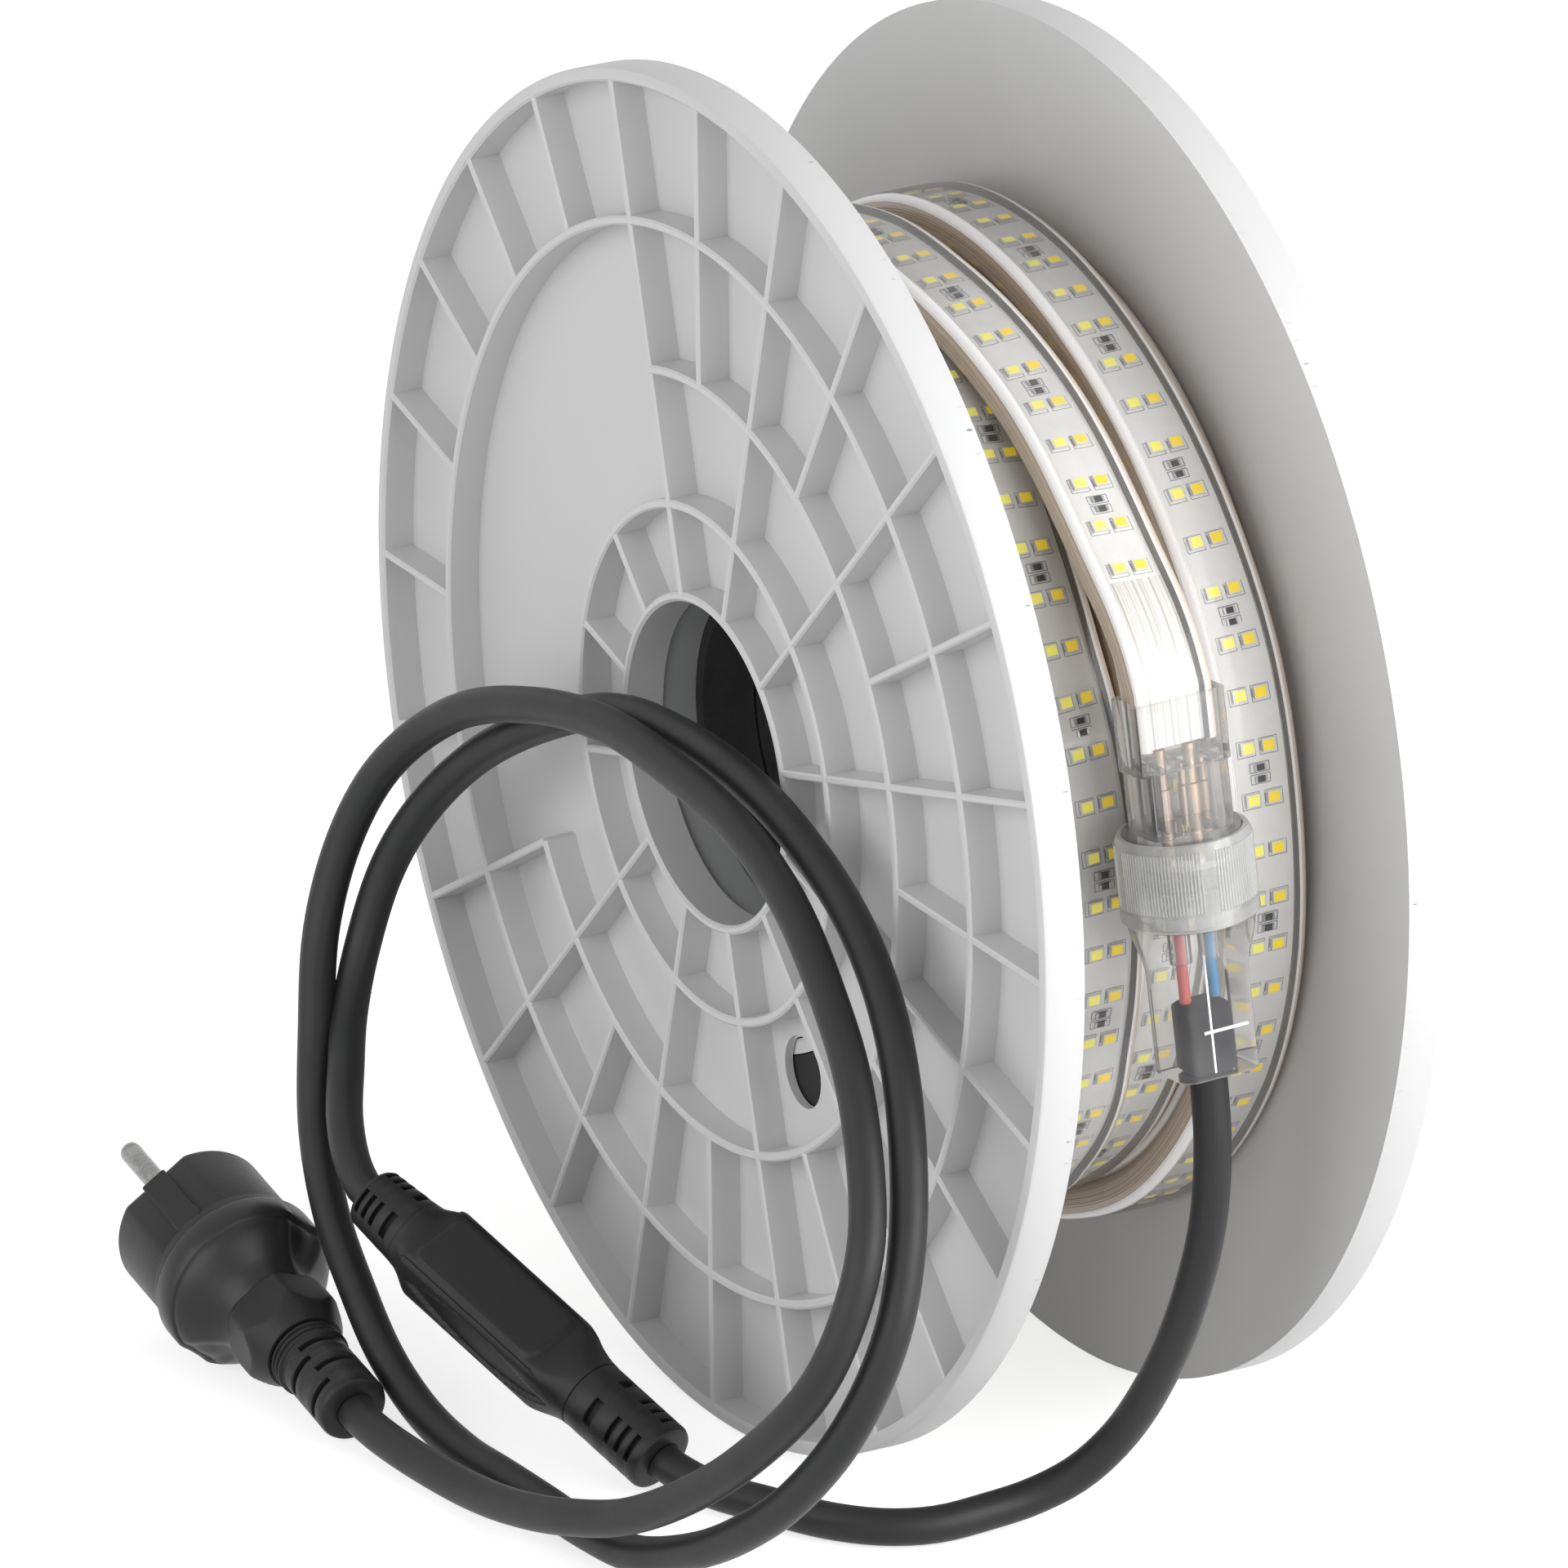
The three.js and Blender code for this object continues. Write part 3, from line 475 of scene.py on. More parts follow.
def moulded_plastic(name, low, high, roughness, grain_scale, grain, edge_mm=0.0, shine=0.5):
    """Satin moulding: faint cloudy colour, a fine grain, and eased edges."""
    finish = Finish(name)
    surface = finish.surface(roughness, shine=shine)
    finish.colour(surface, low, high, finish.noise(14, 4))
    uneven = finish.span(finish.noise(60), roughness - 0.06, roughness + 0.08)
    finish.link(uneven, surface.inputs["Roughness"])
    bump = finish.bump(finish.noise(grain_scale, 2), grain, 0.12)
    finish.link(bump.outputs[0], surface.inputs["Normal"])
    if edge_mm:
        finish.soften_edges(edge_mm, bump.inputs["Normal"])
    return finish.material


def cable_rubber():
    """Round cable: matt black rubber with faint rubbed streaks and talc specks."""
    finish = Finish("cable_rubber")
    surface = finish.surface(0.5, shine=0.36, sheen_weight=0.06, sheen_roughness=0.4)
    finish.colour(surface, (0.011, 0.0112, 0.012), (0.021, 0.0213, 0.0225), finish.noise(45, 5))
    finish.link(finish.span(finish.noise(120, 4), 0.4, 0.58), surface.inputs["Roughness"])
    finish.roughen(surface, 900, 3, 0.16, 0.1)
    return finish.material


def bore_liner():
    """Black coarse liner: open, crumbly surface."""
    finish = Finish("core_liner")
    surface = finish.surface(0.85)
    finish.colour(surface, (0.008, 0.008, 0.009), (0.035, 0.035, 0.037), finish.noise(160, 6))
    finish.roughen(surface, 420, 6, 0.9, 0.7)
    return finish.material


def nickel():
    """Plated pin with faint streaks along it."""
    finish = Finish("nickel")
    surface = finish.surface(0.22, metallic=1.0)
    streaks = finish.noise(160, 4, (1, 8, 8))
    finish.colour(surface, (0.1, 0.1, 0.1), (0.46, 0.46, 0.45), streaks)
    finish.link(finish.span(streaks, 0.16, 0.34), surface.inputs["Roughness"])
    finish.roughen(surface, 700, 2, 0.12, 0.05, (1, 6, 6))
    return finish.material


def clear_plastic(name, milk, edge_milk, tint, roughness):
    """Clear moulding that lets the eye through, milky where it is seen edge on."""
    finish = Finish(name)
    clear = finish.node("ShaderNodeBsdfTransparent", {"Color": (*tint, 1)})
    body = finish.node("ShaderNodeBsdfPrincipled", {"Base Color": MILK_COLOR, "Roughness": 0.35})
    facing = finish.node("ShaderNodeLayerWeight", {"Blend": 0.4})
    amount = finish.span(facing.outputs["Facing"], milk, edge_milk)
    swirl = finish.span(finish.noise(90, 4), -0.06, 0.06)
    total = finish.node("ShaderNodeMath", operation="ADD", use_clamp=True)
    finish.link(amount, total.inputs[0])
    finish.link(swirl, total.inputs[1])
    inner = finish.join("ShaderNodeMixShader", clear, body, total.outputs[0])
    gloss = finish.node("ShaderNodeBsdfGlossy", {"Roughness": roughness})
    fresnel = finish.node("ShaderNodeFresnel", {"IOR": CLEAR_IOR})
    bump = finish.bump(finish.noise(180, 3), 0.15, 0.2)
    finish.link(bump.outputs[0], fresnel.inputs["Normal"])
    finish.link(bump.outputs[0], gloss.inputs["Normal"])
    finish.show(finish.join("ShaderNodeMixShader", inner, gloss, fresnel.outputs[0]))
    return finish.material


def lined_sleeve(name, low, high, roughness, scale, line_share=0.5):
    """Soft extruded sleeve with fine lines that run along it, from a strip coordinate."""
    finish = Finish(name)
    surface = finish.surface(roughness, coat_weight=0.6, coat_roughness=0.12)
    across = finish.node("ShaderNodeAttribute", attribute_name="across")
    lines = finish.node("ShaderNodeTexNoise", {"Scale": scale, "Detail": 3}, noise_dimensions="1D")
    finish.link(across.outputs["Fac"], lines.inputs["W"])
    limits = {"From Min": line_share - 0.13, "From Max": line_share + 0.09}
    contrast = finish.node("ShaderNodeMapRange", limits)
    finish.link(lines.outputs["Fac"], contrast.inputs["Value"])
    finish.colour(surface, low, high, contrast.outputs["Result"])
    finish.link(finish.bump(lines.outputs["Fac"], 0.5, 0.4).outputs[0], surface.inputs["Normal"])
    return finish.material


def plain(name, color, roughness, metallic=0.0, glow=0.0):
    """Small hard part with a trace of unevenness."""
    finish = Finish(name)
    surface = finish.surface(roughness, metallic)
    finish.colour(surface, tuple(c * 0.9 for c in color), color, finish.noise(300, 2))
    finish.roughen(surface, 1500, 2, 0.08, 0.05)
    if glow:
        surface.inputs["Emission Color"].default_value = (*color, 1)
        surface.inputs["Emission Strength"].default_value = glow
    return finish.material


FLANGE_PLASTIC = moulded_plastic("flange_plastic", (0.6, 0.6, 0.602), (0.64, 0.64, 0.642), 0.42, 700, 0.12)
HUB_PLASTIC = moulded_plastic("hub_plastic", (0.4, 0.405, 0.41), (0.45, 0.455, 0.46), 0.5, 700, 0.14)
LINER = bore_liner()
RUBBER = cable_rubber()
BLACK_MOULDING = moulded_plastic(
    "black_moulding", (0.011, 0.0112, 0.012), (0.019, 0.0192, 0.0205), 0.42, 1500, 0.3, 0.4, 0.3)
BLACK_GLOSS = moulded_plastic(
    "black_gloss", (0.011, 0.0112, 0.012), (0.017, 0.0172, 0.018), 0.34, 1200, 0.08, 0.4, 0.4)
GROMMET_BLACK = plain("grommet_black", (0.004, 0.0045, 0.012), 0.8)
# Near black that paints the shade seen in the boots' slots and in the hollow behind the start hole.
SLOT_SHADE = plain("slot_shade_black", (0.004, 0.004, 0.004), 0.7)
NICKEL = nickel()
CONTACT = plain("contact_metal", (0.62, 0.46, 0.34), 0.35, 0.8)
CLEAR = clear_plastic("clear_plastic", 0.03, 0.4, (0.985, 0.985, 0.985), 0.1)
NUT_CLEAR = clear_plastic("nut_clear", 0.22, 0.62, (0.96, 0.97, 0.975), 0.2)
SKIN = clear_plastic("sleeve_skin", 0.03, 0.25, (0.985, 0.98, 0.97), 0.1)
# The seam ridges' near white is a painted highlight on the clear moulding.
SEAM_HIGHLIGHT = plain("mould_seam_highlight", (0.9, 0.9, 0.9), 0.3)
SIDE = lined_sleeve("sleeve_side", (0.3, 0.22, 0.16), (0.66, 0.54, 0.43), 0.35, 2.6)
LIP = lined_sleeve("sleeve_lip", (0.4, 0.38, 0.36), (0.95, 0.94, 0.93), 0.25, 3.0, 0.4)
EDGE = lined_sleeve("sleeve_edge", (0.4, 0.32, 0.25), (0.86, 0.74, 0.63), 0.3, 3.0, 0.45)
GROOVE = lined_sleeve("sleeve_groove", (0.12, 0.11, 0.1), (0.25, 0.23, 0.21), 0.3, 3.0)
BARE = lined_sleeve("bare_sleeve", (0.5, 0.46, 0.42), (0.88, 0.87, 0.86), 0.2, 1.5, 0.45)
BOARD = plain("strip_board", (0.93, 0.93, 0.935), 0.35)
LAMP_BODY = plain("lamp_body", (0.9, 0.9, 0.85), 0.3)
LAMP_WARM = plain("lamp_warm", (0.98, 0.7, 0.02), 0.3, 0.0, 0.3)
LAMP_PALE = plain("lamp_pale", (0.92, 0.85, 0.15), 0.3, 0.0, 0.3)
TRACE = plain("board_trace", (0.33, 0.33, 0.38), 0.5)
RESISTOR = plain("resistor", (0.035, 0.035, 0.04), 0.35)
SOLDER = plain("solder", (0.55, 0.55, 0.56), 0.3, 1.0)
SEAL = plain("seal_rubber", (0.6, 0.6, 0.58), 0.6)
RED = plain("red_insulation", (0.55, 0.1, 0.09), 0.4)
BLUE = plain("blue_insulation", (0.03, 0.22, 0.42), 0.4)


# Cables


FEED_ROUTE = [
    (-2.9, 129.0, 97.0), (-2.5, 127.3, 78.5), (-1.0, 119.9, 55.9), (0.3, 108.8, 36.6),
    (3.3, 97.8, 20.9), (9.8, 91.9, 11.9), (18.5, 88.0, 7.0), (29.0, 86.4, 5.1), (40.5, 85.4, 4.3),
    (50.3, 81.1, 4.2), (59.0, 72.2, 4.3), (66.7, 58.0, 4.6), (72.7, 44.2, 4.6),
]
MAINS_ROUTE = [
    (120.6, -12.5, 5.8), (119.0, 4.0, 4.9), (117.6, 22.0, 5.4), (116.8, 40.0, 8.0),
    (115.2, 58.0, 12.1), (111.4, 78.5, 18.5), (106.9, 99.5, 30.0), (102.5, 118.4, 44.3),
    (97.0, 134.8, 62.0), (92.9, 140.3, 74.6), (87.1, 140.4, 89.9), (82.6, 135.2, 100.6),
    (74.9, 116.0, 120.7), (70.2, 95.0, 134.8), (66.3, 71.7, 146.0), (63.8, 43.5, 153.6),
    (62.8, 12.5, 156.4), (62.8, -15.0, 156.9), (64.6, -46.2, 151.8), (68.1, -76.0, 141.0),
    (74.3, -97.5, 122.9), (80.2, -105.3, 105.2), (86.8, -104.5, 86.0), (93.3, -95.4, 66.8),
    (100.1, -82.9, 49.5), (104.7, -67.8, 35.6), (107.1, -52.0, 24.7), (108.6, -36.0, 14.8),
    (108.4, -20.0, 7.6), (107.7, -2.6, 4.4), (106.8, 14.4, 4.2), (106.2, 32.0, 4.2),
    (106.0, 50.8, 4.3), (104.8, 69.1, 5.6), (102.5, 89.8, 12.6), (99.7, 107.7, 22.2),
    (95.4, 125.0, 36.0), (89.3, 138.8, 55.2), (81.9, 143.8, 76.5), (74.6, 137.8, 95.5),
    (67.2, 123.7, 115.9), (61.9, 107.3, 131.2), (57.6, 84.5, 143.8), (54.8, 55.0, 152.8),
    (53.2, 26.4, 156.8), (53.0, -2.0, 157.2), (54.0, -26.0, 154.6), (57.0, -49.0, 146.2),
    (62.5, -74.0, 131.6), (68.4, -91.0, 114.4), (73.5, -99.1, 98.6), (79.9, -99.5, 80.9),
    (86.2, -93.4, 69.6), (93.0, -82.2, 62.0), (99.0, -71.5, 55.4), (102.6, -61.3, 49.6),
]
RECTIFIER_MAINS_END = RECTIFIER_REEL_END - RECTIFIER_ALONG * RECTIFIER_LENGTH


def cable(name, points, replaced):
    """A round cable on a spline through its points, and the place where it starts."""
    line = even_steps(catmull_rom(points), CABLE_STEP)
    data = bpy.data.curves.new(name, "CURVE")
    data.dimensions = "3D"
    spline = data.splines.new("POLY")
    spline.points.add(len(line) - 1)
    for point, place in zip(spline.points, line):
        point.co = (*(place * MM), 1)
    data.bevel_depth = CABLE_DIAMETER / 2 * MM
    data.bevel_resolution = 7
    data.use_fill_caps = True
    data.materials.append(RUBBER)
    for item in data.splines:
        item.use_smooth = True
    return add_piece(name, data, replaced), line[0] * MM


FEED_POINTS = [
    CONNECTOR_TOP + CONNECTOR_ALONG * (CONNECTOR_LENGTH + TOUCH_GAP), *FEED_ROUTE,
    RECTIFIER_REEL_END + RECTIFIER_ALONG * CABLE_STRAIGHT,
    RECTIFIER_REEL_END + RECTIFIER_ALONG * TOUCH_GAP,
]
MAINS_POINTS = [
    PLUG_CABLE_END - PLUG_ALONG * TOUCH_GAP,
    PLUG_CABLE_END - PLUG_ALONG * 2 * CABLE_STRAIGHT,
    *MAINS_ROUTE,
    RECTIFIER_MAINS_END - RECTIFIER_ALONG * CABLE_STRAIGHT,
    RECTIFIER_MAINS_END - RECTIFIER_ALONG * TOUCH_GAP,
]
feed_cable, feed_exit = cable("feed_cable", FEED_POINTS, "feed_lead")
mains_cable, mains_exit = cable("mains_cable", MAINS_POINTS[::-1], "mains_lead")

# Flanges


def wall_profile(radius, wall, base, top, ease=0.45):
    """Ring wall profile of (radius, X) with eased free edges."""
    inner = radius - wall
    return [
        (inner, base), (radius, base), (radius, top - ease), (radius - ease, top),
        (inner + ease, top), (inner, top - ease),
    ]


def spoke(angle_deg, start, end, base, top):
    """One radial rib: a straight wall with eased free edges."""
    half = SPOKE_WALL / 2
    ease = 0.4
    top -= SPOKE_DROP
    section = [
        (-half, base), (half, base), (half, top - ease),
        (half - ease, top), (-half + ease, top), (-half, top - ease),
    ]
    angle = math.radians(angle_deg)
    rings = []
    for radius in (start, end):
        ring = []
        for offset, x in section:
            y = radius * math.cos(angle) - offset * math.sin(angle)
            z = radius * math.sin(angle) + offset * math.cos(angle)
            ring.append((x, y, AXIS_HEIGHT + z))
        rings.append(ring)
    return loft(rings)


def arc_wall(radius, wall, from_deg, to_deg, base, top, steps=110):
    rings = []
    for i in range(steps + 1):
        angle = math.radians(from_deg + (to_deg - from_deg) * i / steps)
        profile = wall_profile(radius, wall, base, top)
        rings.append([(x, r * math.cos(angle), AXIS_HEIGHT + r * math.sin(angle)) for r, x in profile])
    return loft(rings)


def spoke_angle(index):
    return SPOKE_PHASE_DEG + index * 360 / SPOKE_COUNT


def plate_with_hole(segments=216):
    """The flat plate from bore to rim, open at the rope's start hole."""
    outline_hole = []
    centre = math.radians(START_HOLE_DEG)
    cy = START_HOLE_DISTANCE * math.cos(centre)
    cz = START_HOLE_DISTANCE * math.sin(centre)
    for angle in ring_points(40):
        y = cy + START_HOLE_RADIUS * math.cos(angle)
        z = cz + START_HOLE_RADIUS * math.sin(angle)
        outline_hole.append((y, z))
    work = bmesh.new()
    loops = [
        [(FLANGE_RADIUS * math.cos(a), FLANGE_RADIUS * math.sin(a)) for a in ring_points(segments)],
        [(BORE_RADIUS * math.cos(a), BORE_RADIUS * math.sin(a)) for a in ring_points(96)],
        outline_hole,
    ]
    edges = []
    for loop in loops:
        verts = [work.verts.new((INNER_FACE, y, AXIS_HEIGHT + z)) for y, z in loop]
        edges += [work.edges.new((verts[i], verts[(i + 1) % len(verts)])) for i in range(len(verts))]
    bmesh.ops.triangle_fill(work, use_beauty=True, use_dissolve=False, edges=edges)
    filled = bmesh.ops.extrude_face_region(work, geom=list(work.faces))
    lifted = [v for v in filled["geom"] if isinstance(v, bmesh.types.BMVert)]
    bmesh.ops.translate(work, verts=lifted, vec=(PLATE_THICKNESS, 0, 0))
    work.verts.index_update()
    points = [tuple(v.co) for v in work.verts]
    faces = [tuple(v.index for v in face.verts) for face in work.faces]
    work.free()
    return points, faces


def flange_form():
    form = Form()
    base = INNER_FACE + PLATE_THICKNESS / 2
    form.add(plate_with_hole())
    rim = [
        (FLANGE_RADIUS - RIM_WALL, base), (FLANGE_RADIUS - 0.05, INNER_FACE + 0.3),
        (FLANGE_RADIUS, INNER_FACE + 0.7), (FLANGE_RADIUS, OUTER_FACE - 0.9),
        (FLANGE_RADIUS - 0.3, OUTER_FACE - 0.3), (FLANGE_RADIUS - 0.9, OUTER_FACE),
        (FLANGE_RADIUS - RIM_WALL + 0.5, OUTER_FACE), (FLANGE_RADIUS - RIM_WALL, OUTER_FACE - 0.5),
    ]
    form.add(about_reel(rim, 240))
    for radius, segments in ((OUTER_RING_RADIUS, 216), (INNER_RING_RADIUS, 144)):
        form.add(about_reel(wall_profile(radius, RING_WALL, base, OUTER_FACE), segments))
    form.add(about_reel(wall_profile(BORE_RADIUS + RING_WALL, RING_WALL, base, OUTER_FACE, 0.6), 120))
    form.add(arc_wall(
        MIDDLE_RING_RADIUS, RING_WALL, spoke_angle(OPEN_SECTOR_LAST) - 360,
        spoke_angle(OPEN_SECTOR_FIRST), base, OUTER_FACE,
    ))
    rim_end = FLANGE_RADIUS - RIM_WALL / 2
    lap = RING_WALL / 2
    for index in range(SPOKE_COUNT):
        angle = spoke_angle(index)
        through = index % 2 == 1
        if OPEN_SECTOR_FIRST < index < OPEN_SECTOR_LAST:
            form.add(spoke(angle, OUTER_RING_RADIUS - lap, rim_end, base, OUTER_FACE))
            if through:
                form.add(spoke(angle, BORE_RADIUS + lap, INNER_RING_RADIUS - lap, base, OUTER_FACE))
        else:
            start = BORE_RADIUS + lap if through else MIDDLE_RING_RADIUS - lap
            form.add(spoke(angle, start, rim_end, base, OUTER_FACE))
    for radius in (BARREL_INNER - TOUCH_GAP, HUB_OUTER + TOUCH_GAP + COLLAR_WALL):
        profile = wall_profile(radius, COLLAR_WALL, INNER_FACE - 5, INNER_FACE + 1, 0)
        form.add(about_reel(profile[:2] + [profile[3], profile[4]], 96))
    return form


def make_flanges():
    form = flange_form()
    form.build("flange_near", [FLANGE_PLASTIC], "flange_plastic", "near_flange")
    turned = ([(-x, -y, z) for x, y, z in form.points], form.faces)
    Form([turned]).build("flange_far", [FLANGE_PLASTIC], "flange_plastic", "far_flange")


make_flanges()


# Barrel and bore


def plain_wall(inner, outer, reach):
    return [(inner, -reach), (outer, -reach), (outer, reach), (inner, reach)]


def make_core():
    reach = INNER_FACE - TOUCH_GAP
    barrel = about_reel(plain_wall(BARREL_INNER, BARREL_OUTER, reach), 144)
    Form([barrel]).build("barrel", [FLANGE_PLASTIC], "flange_plastic", "drum_barrel")
    hub = about_reel(plain_wall(HUB_INNER, HUB_OUTER, reach), 120)
    Form([hub]).build("hub", [HUB_PLASTIC], "hub_plastic", "hub_tube")
    outer = HUB_INNER - TOUCH_GAP
    inner = outer - 2.1
    end = OUTER_FACE - 17.6
    profile = [(outer, -end), (outer, end), (inner + 0.6, end), (inner, end - 0.6)]
    for seam in (17.0, -17.0):
        profile += [(inner, seam + 0.5), (inner + 0.7, seam), (inner, seam - 0.5)]
    profile += [(inner, -end + 0.6), (inner + 0.6, -end)]
    Form([about_reel(profile, 120)]).build("bore_liner", [LINER], "core_liner", "core_liner")


make_core()


# Wound rope: one flat strand, four turns side by side, then on top of them to the connector

BACK_JOG = (150.0, 215.0)
LAYER_START_DEG = 1995.0
TOP_STATIONS = [
    (545, -4.4, -28.4), (520, 0.2, -28.2), (495, 4, -26.5), (465, 4, -23.5), (437, 4, -22.2),
    (410, 4, -23.6), (385, 4, -26), (365, 4, -26.8), (345, 4, -28.2), (325, 4, -28.6),
    (300, 4, -28.2), (270, 4, -25), (240, 4, -20), (210, 4, -14.5), (180, 4, -9),
    (150, 4, -4), (120, 4, 0.5), (95, 4, 2.8), (77, 4.1, 2.2), (66, 4.8, 0.6),
    (56, 6.4, -0.4), (48, 9, -0.2), (41, 11.8, 0.3), (34.5, 15.4, 0.7), (28.5, 20.1, 1),
    (24.4, 22.6, 1.2),
]
# Where the turn nearest the viewer strays from its place, by angle
STRAY_ANGLES = [-60, -35, -26, -13, 0, 18, 30, 45, 63, 90]
STRAY_PLACES = [3.0, 4.2, 5.9, 6.6, 7.7, 9.8, 11.3, 10.8, 7.6, 9.0]


def smooth_step(value):
    value = min(1.0, max(0.0, value))
    return value * value * (3 - 2 * value)


def layer_place(angle_deg):
    """X of the lower layer's strand: it moves over by one pitch at the back of each turn."""
    turn = math.floor((LAYER_START_DEG - angle_deg - (LAYER_START_DEG - BACK_JOG[1]) % 360) / 360) + 1
    local = angle_deg % 360
    place = 1.5 * LAYER_PITCH - turn * LAYER_PITCH
    if BACK_JOG[0] <= local <= BACK_JOG[1]:
        done = smooth_step((BACK_JOG[1] - local) / (BACK_JOG[1] - BACK_JOG[0]))
        place += LAYER_PITCH * (1 - done)
    return place, turn


def reel_point(angle_deg, radius, x):
    angle = math.radians(angle_deg)
    return (x, radius * math.cos(angle), AXIS_HEIGHT + radius * math.sin(angle))


def strand_line():
    """The strand's middle line, from its buried start to inside the connector's socket."""
    points = []
    angle = 1985.0
    while angle > 550:
        x, turn = layer_place(angle)
        radius = ROPE_MIDDLE
        signed = (angle + 180) % 360 - 180
        if turn == 1 and STRAY_ANGLES[0] < signed < STRAY_ANGLES[-1]:
            x = float(np.interp(signed, STRAY_ANGLES, STRAY_PLACES))
            radius += 2.4 * smooth_step((-8 - signed) / 30) * smooth_step((signed + 75) / 20)
        x = max(-28.8, min(28.8, x))
        points.append(reel_point(angle, radius, x))
        angle -= 7.5
    for angle, lift, x in TOP_STATIONS:
        points.append(reel_point(angle, LAYER_RADIUS + lift - STRAND_SINK, x))
    points.append(tuple(CONNECTOR_TOP + CONNECTOR_ALONG * -1))
    line = even_steps(catmull_rom(points, 8), STRAND_STEP)
    inside = [CONNECTOR_TOP + CONNECTOR_ALONG * d for d in (2.4, 6.0, 10.7)]
    return np.vstack([line, [tuple(p) for p in inside]])


def strand_axes(line):
    """Across and outward directions at each point of the strand's line."""
    tangents = np.gradient(line, axis=0)
    tangents /= np.linalg.norm(tangents, axis=1)[:, None]
    across = np.array([1.0, 0, 0]) - tangents * tangents[:, :1]
    across /= np.linalg.norm(across, axis=1)[:, None]
    outward = np.cross(across, tangents)
    return tangents, across, outward


# Half section of the sleeve as (across, outward, material slot of the run that starts there)
SIDE_SLOT, LIP_SLOT, GROOVE_SLOT, BOARD_SLOT, BARE_SLOT, EDGE_SLOT = range(6)
HALF_SECTION = [
    (0.0, -4.0, SIDE_SLOT), (7.2, -4.0, SIDE_SLOT), (8.7, -3.3, SIDE_SLOT), (9.5, -1.8, SIDE_SLOT),
    (9.5, 1.3, SIDE_SLOT), (9.2, 2.5, LIP_SLOT), (8.5, 3.4, LIP_SLOT), (7.6, 3.85, LIP_SLOT),
    (6.9, 3.9, GROOVE_SLOT), (6.6, BOARD_LEVEL + 0.1, GROOVE_SLOT), (6.3, BOARD_LEVEL, BOARD_SLOT),
]


def full_section():
    right = HALF_SECTION
    left = [(-a, b) for a, b, _ in right[1:]][::-1]
    points = [(a, b) for a, b, _ in right] + left
    slots = [s for _, _, s in right]
    far = [EDGE_SLOT if s == LIP_SLOT and a > 8 else s for a, _, s in right[:-1]]
    slots += far[::-1]
    return points, slots[: len(points)]


def swept(section, line, across, outward):
    points = []
    for centre, side, out in zip(line, across, outward):
        points += [tuple(centre + side * a + out * b) for a, b in section]
    return points


def store_across(piece, values):
    """Keeps the coordinate that the sleeve's fine lines follow."""
    layer = piece.data.attributes.new("across", "FLOAT", "POINT")
    layer.data.foreach_set("value", values)


def make_sleeve(line, across, outward, bare_from):
    section, slots = full_section()
    points = swept(section, line, across, outward)
    face_slots = []
    faces = ring_faces(len(line), len(section), closed=False)
    for ring in range(len(line) - 1):
        for slot in slots:
            bare = ring >= bare_from and slot == BOARD_SLOT
            face_slots.append(BARE_SLOT if bare else slot)
    last = (len(line) - 1) * len(section)
    faces.append(tuple(range(len(section)))[::-1])
    faces.append(tuple(last + j for j in range(len(section))))
    face_slots += [SIDE_SLOT, LIP_SLOT]
    form = Form()
    form.add((points, faces, face_slots))
    finishes = [SIDE, LIP, GROOVE, BOARD, BARE, EDGE]
    piece = form.build("rope_sleeve", finishes, "rope_sleeve", "wound_rope", recalc=False)
    lengths = [a + b * 1.3 for a, b in section]
    store_across(piece, np.tile(lengths, len(line)))


def make_skin(line, across, outward):
    """Clear top of the sleeve over the board's recess."""
    section = [(-7.6, 3.8), (-6.4, 4.0), (-3.2, 4.15), (0, 4.2), (3.2, 4.15), (6.4, 4.0), (7.6, 3.8)]
    points = swept(section, line, across, outward)
    count = len(section)
    faces = []
    for ring in range(len(line) - 1):
        for j in range(count - 1):
            a = ring * count + j
            faces.append((a, a + 1, a + count + 1, a + count))
    form = Form()
    form.add((points, faces))
    form.build("rope_skin", [SKIN], "rope_sleeve", sharp_deg=60, recalc=False)


def board_box(form, centre, axes, size, place, slot):
    """A flat box on the board: size and place are (across, along, up)."""
    tangent, side, out = axes
    (w, l, h), (a, s, b) = size, place
    middle = centre + side * a + tangent * s + out * (BOARD_LEVEL + b)
    points = []
    for up in (0, h):
        for sx, sy in ((-1, -1), (1, -1), (1, 1), (-1, 1)):
            points.append(tuple(middle + side * (sx * w / 2) + tangent * (sy * l / 2) + out * up))
    faces = [(0, 1, 5, 4), (1, 2, 6, 5), (2, 3, 7, 6), (3, 0, 4, 7), (4, 5, 6, 7), (3, 2, 1, 0)]
    form.add((points, faces), slot)


def outline_boxes(form, centre, axes, width, length, place, slot, line_width=0.16):
    a, s = place
    for sign in (-1, 1):
        board_box(form, centre, axes, (line_width, length, 0.03), (a + sign * width / 2, s, 0), slot)
        board_box(form, centre, axes, (width, line_width, 0.03), (a, s + sign * length / 2, 0), slot)


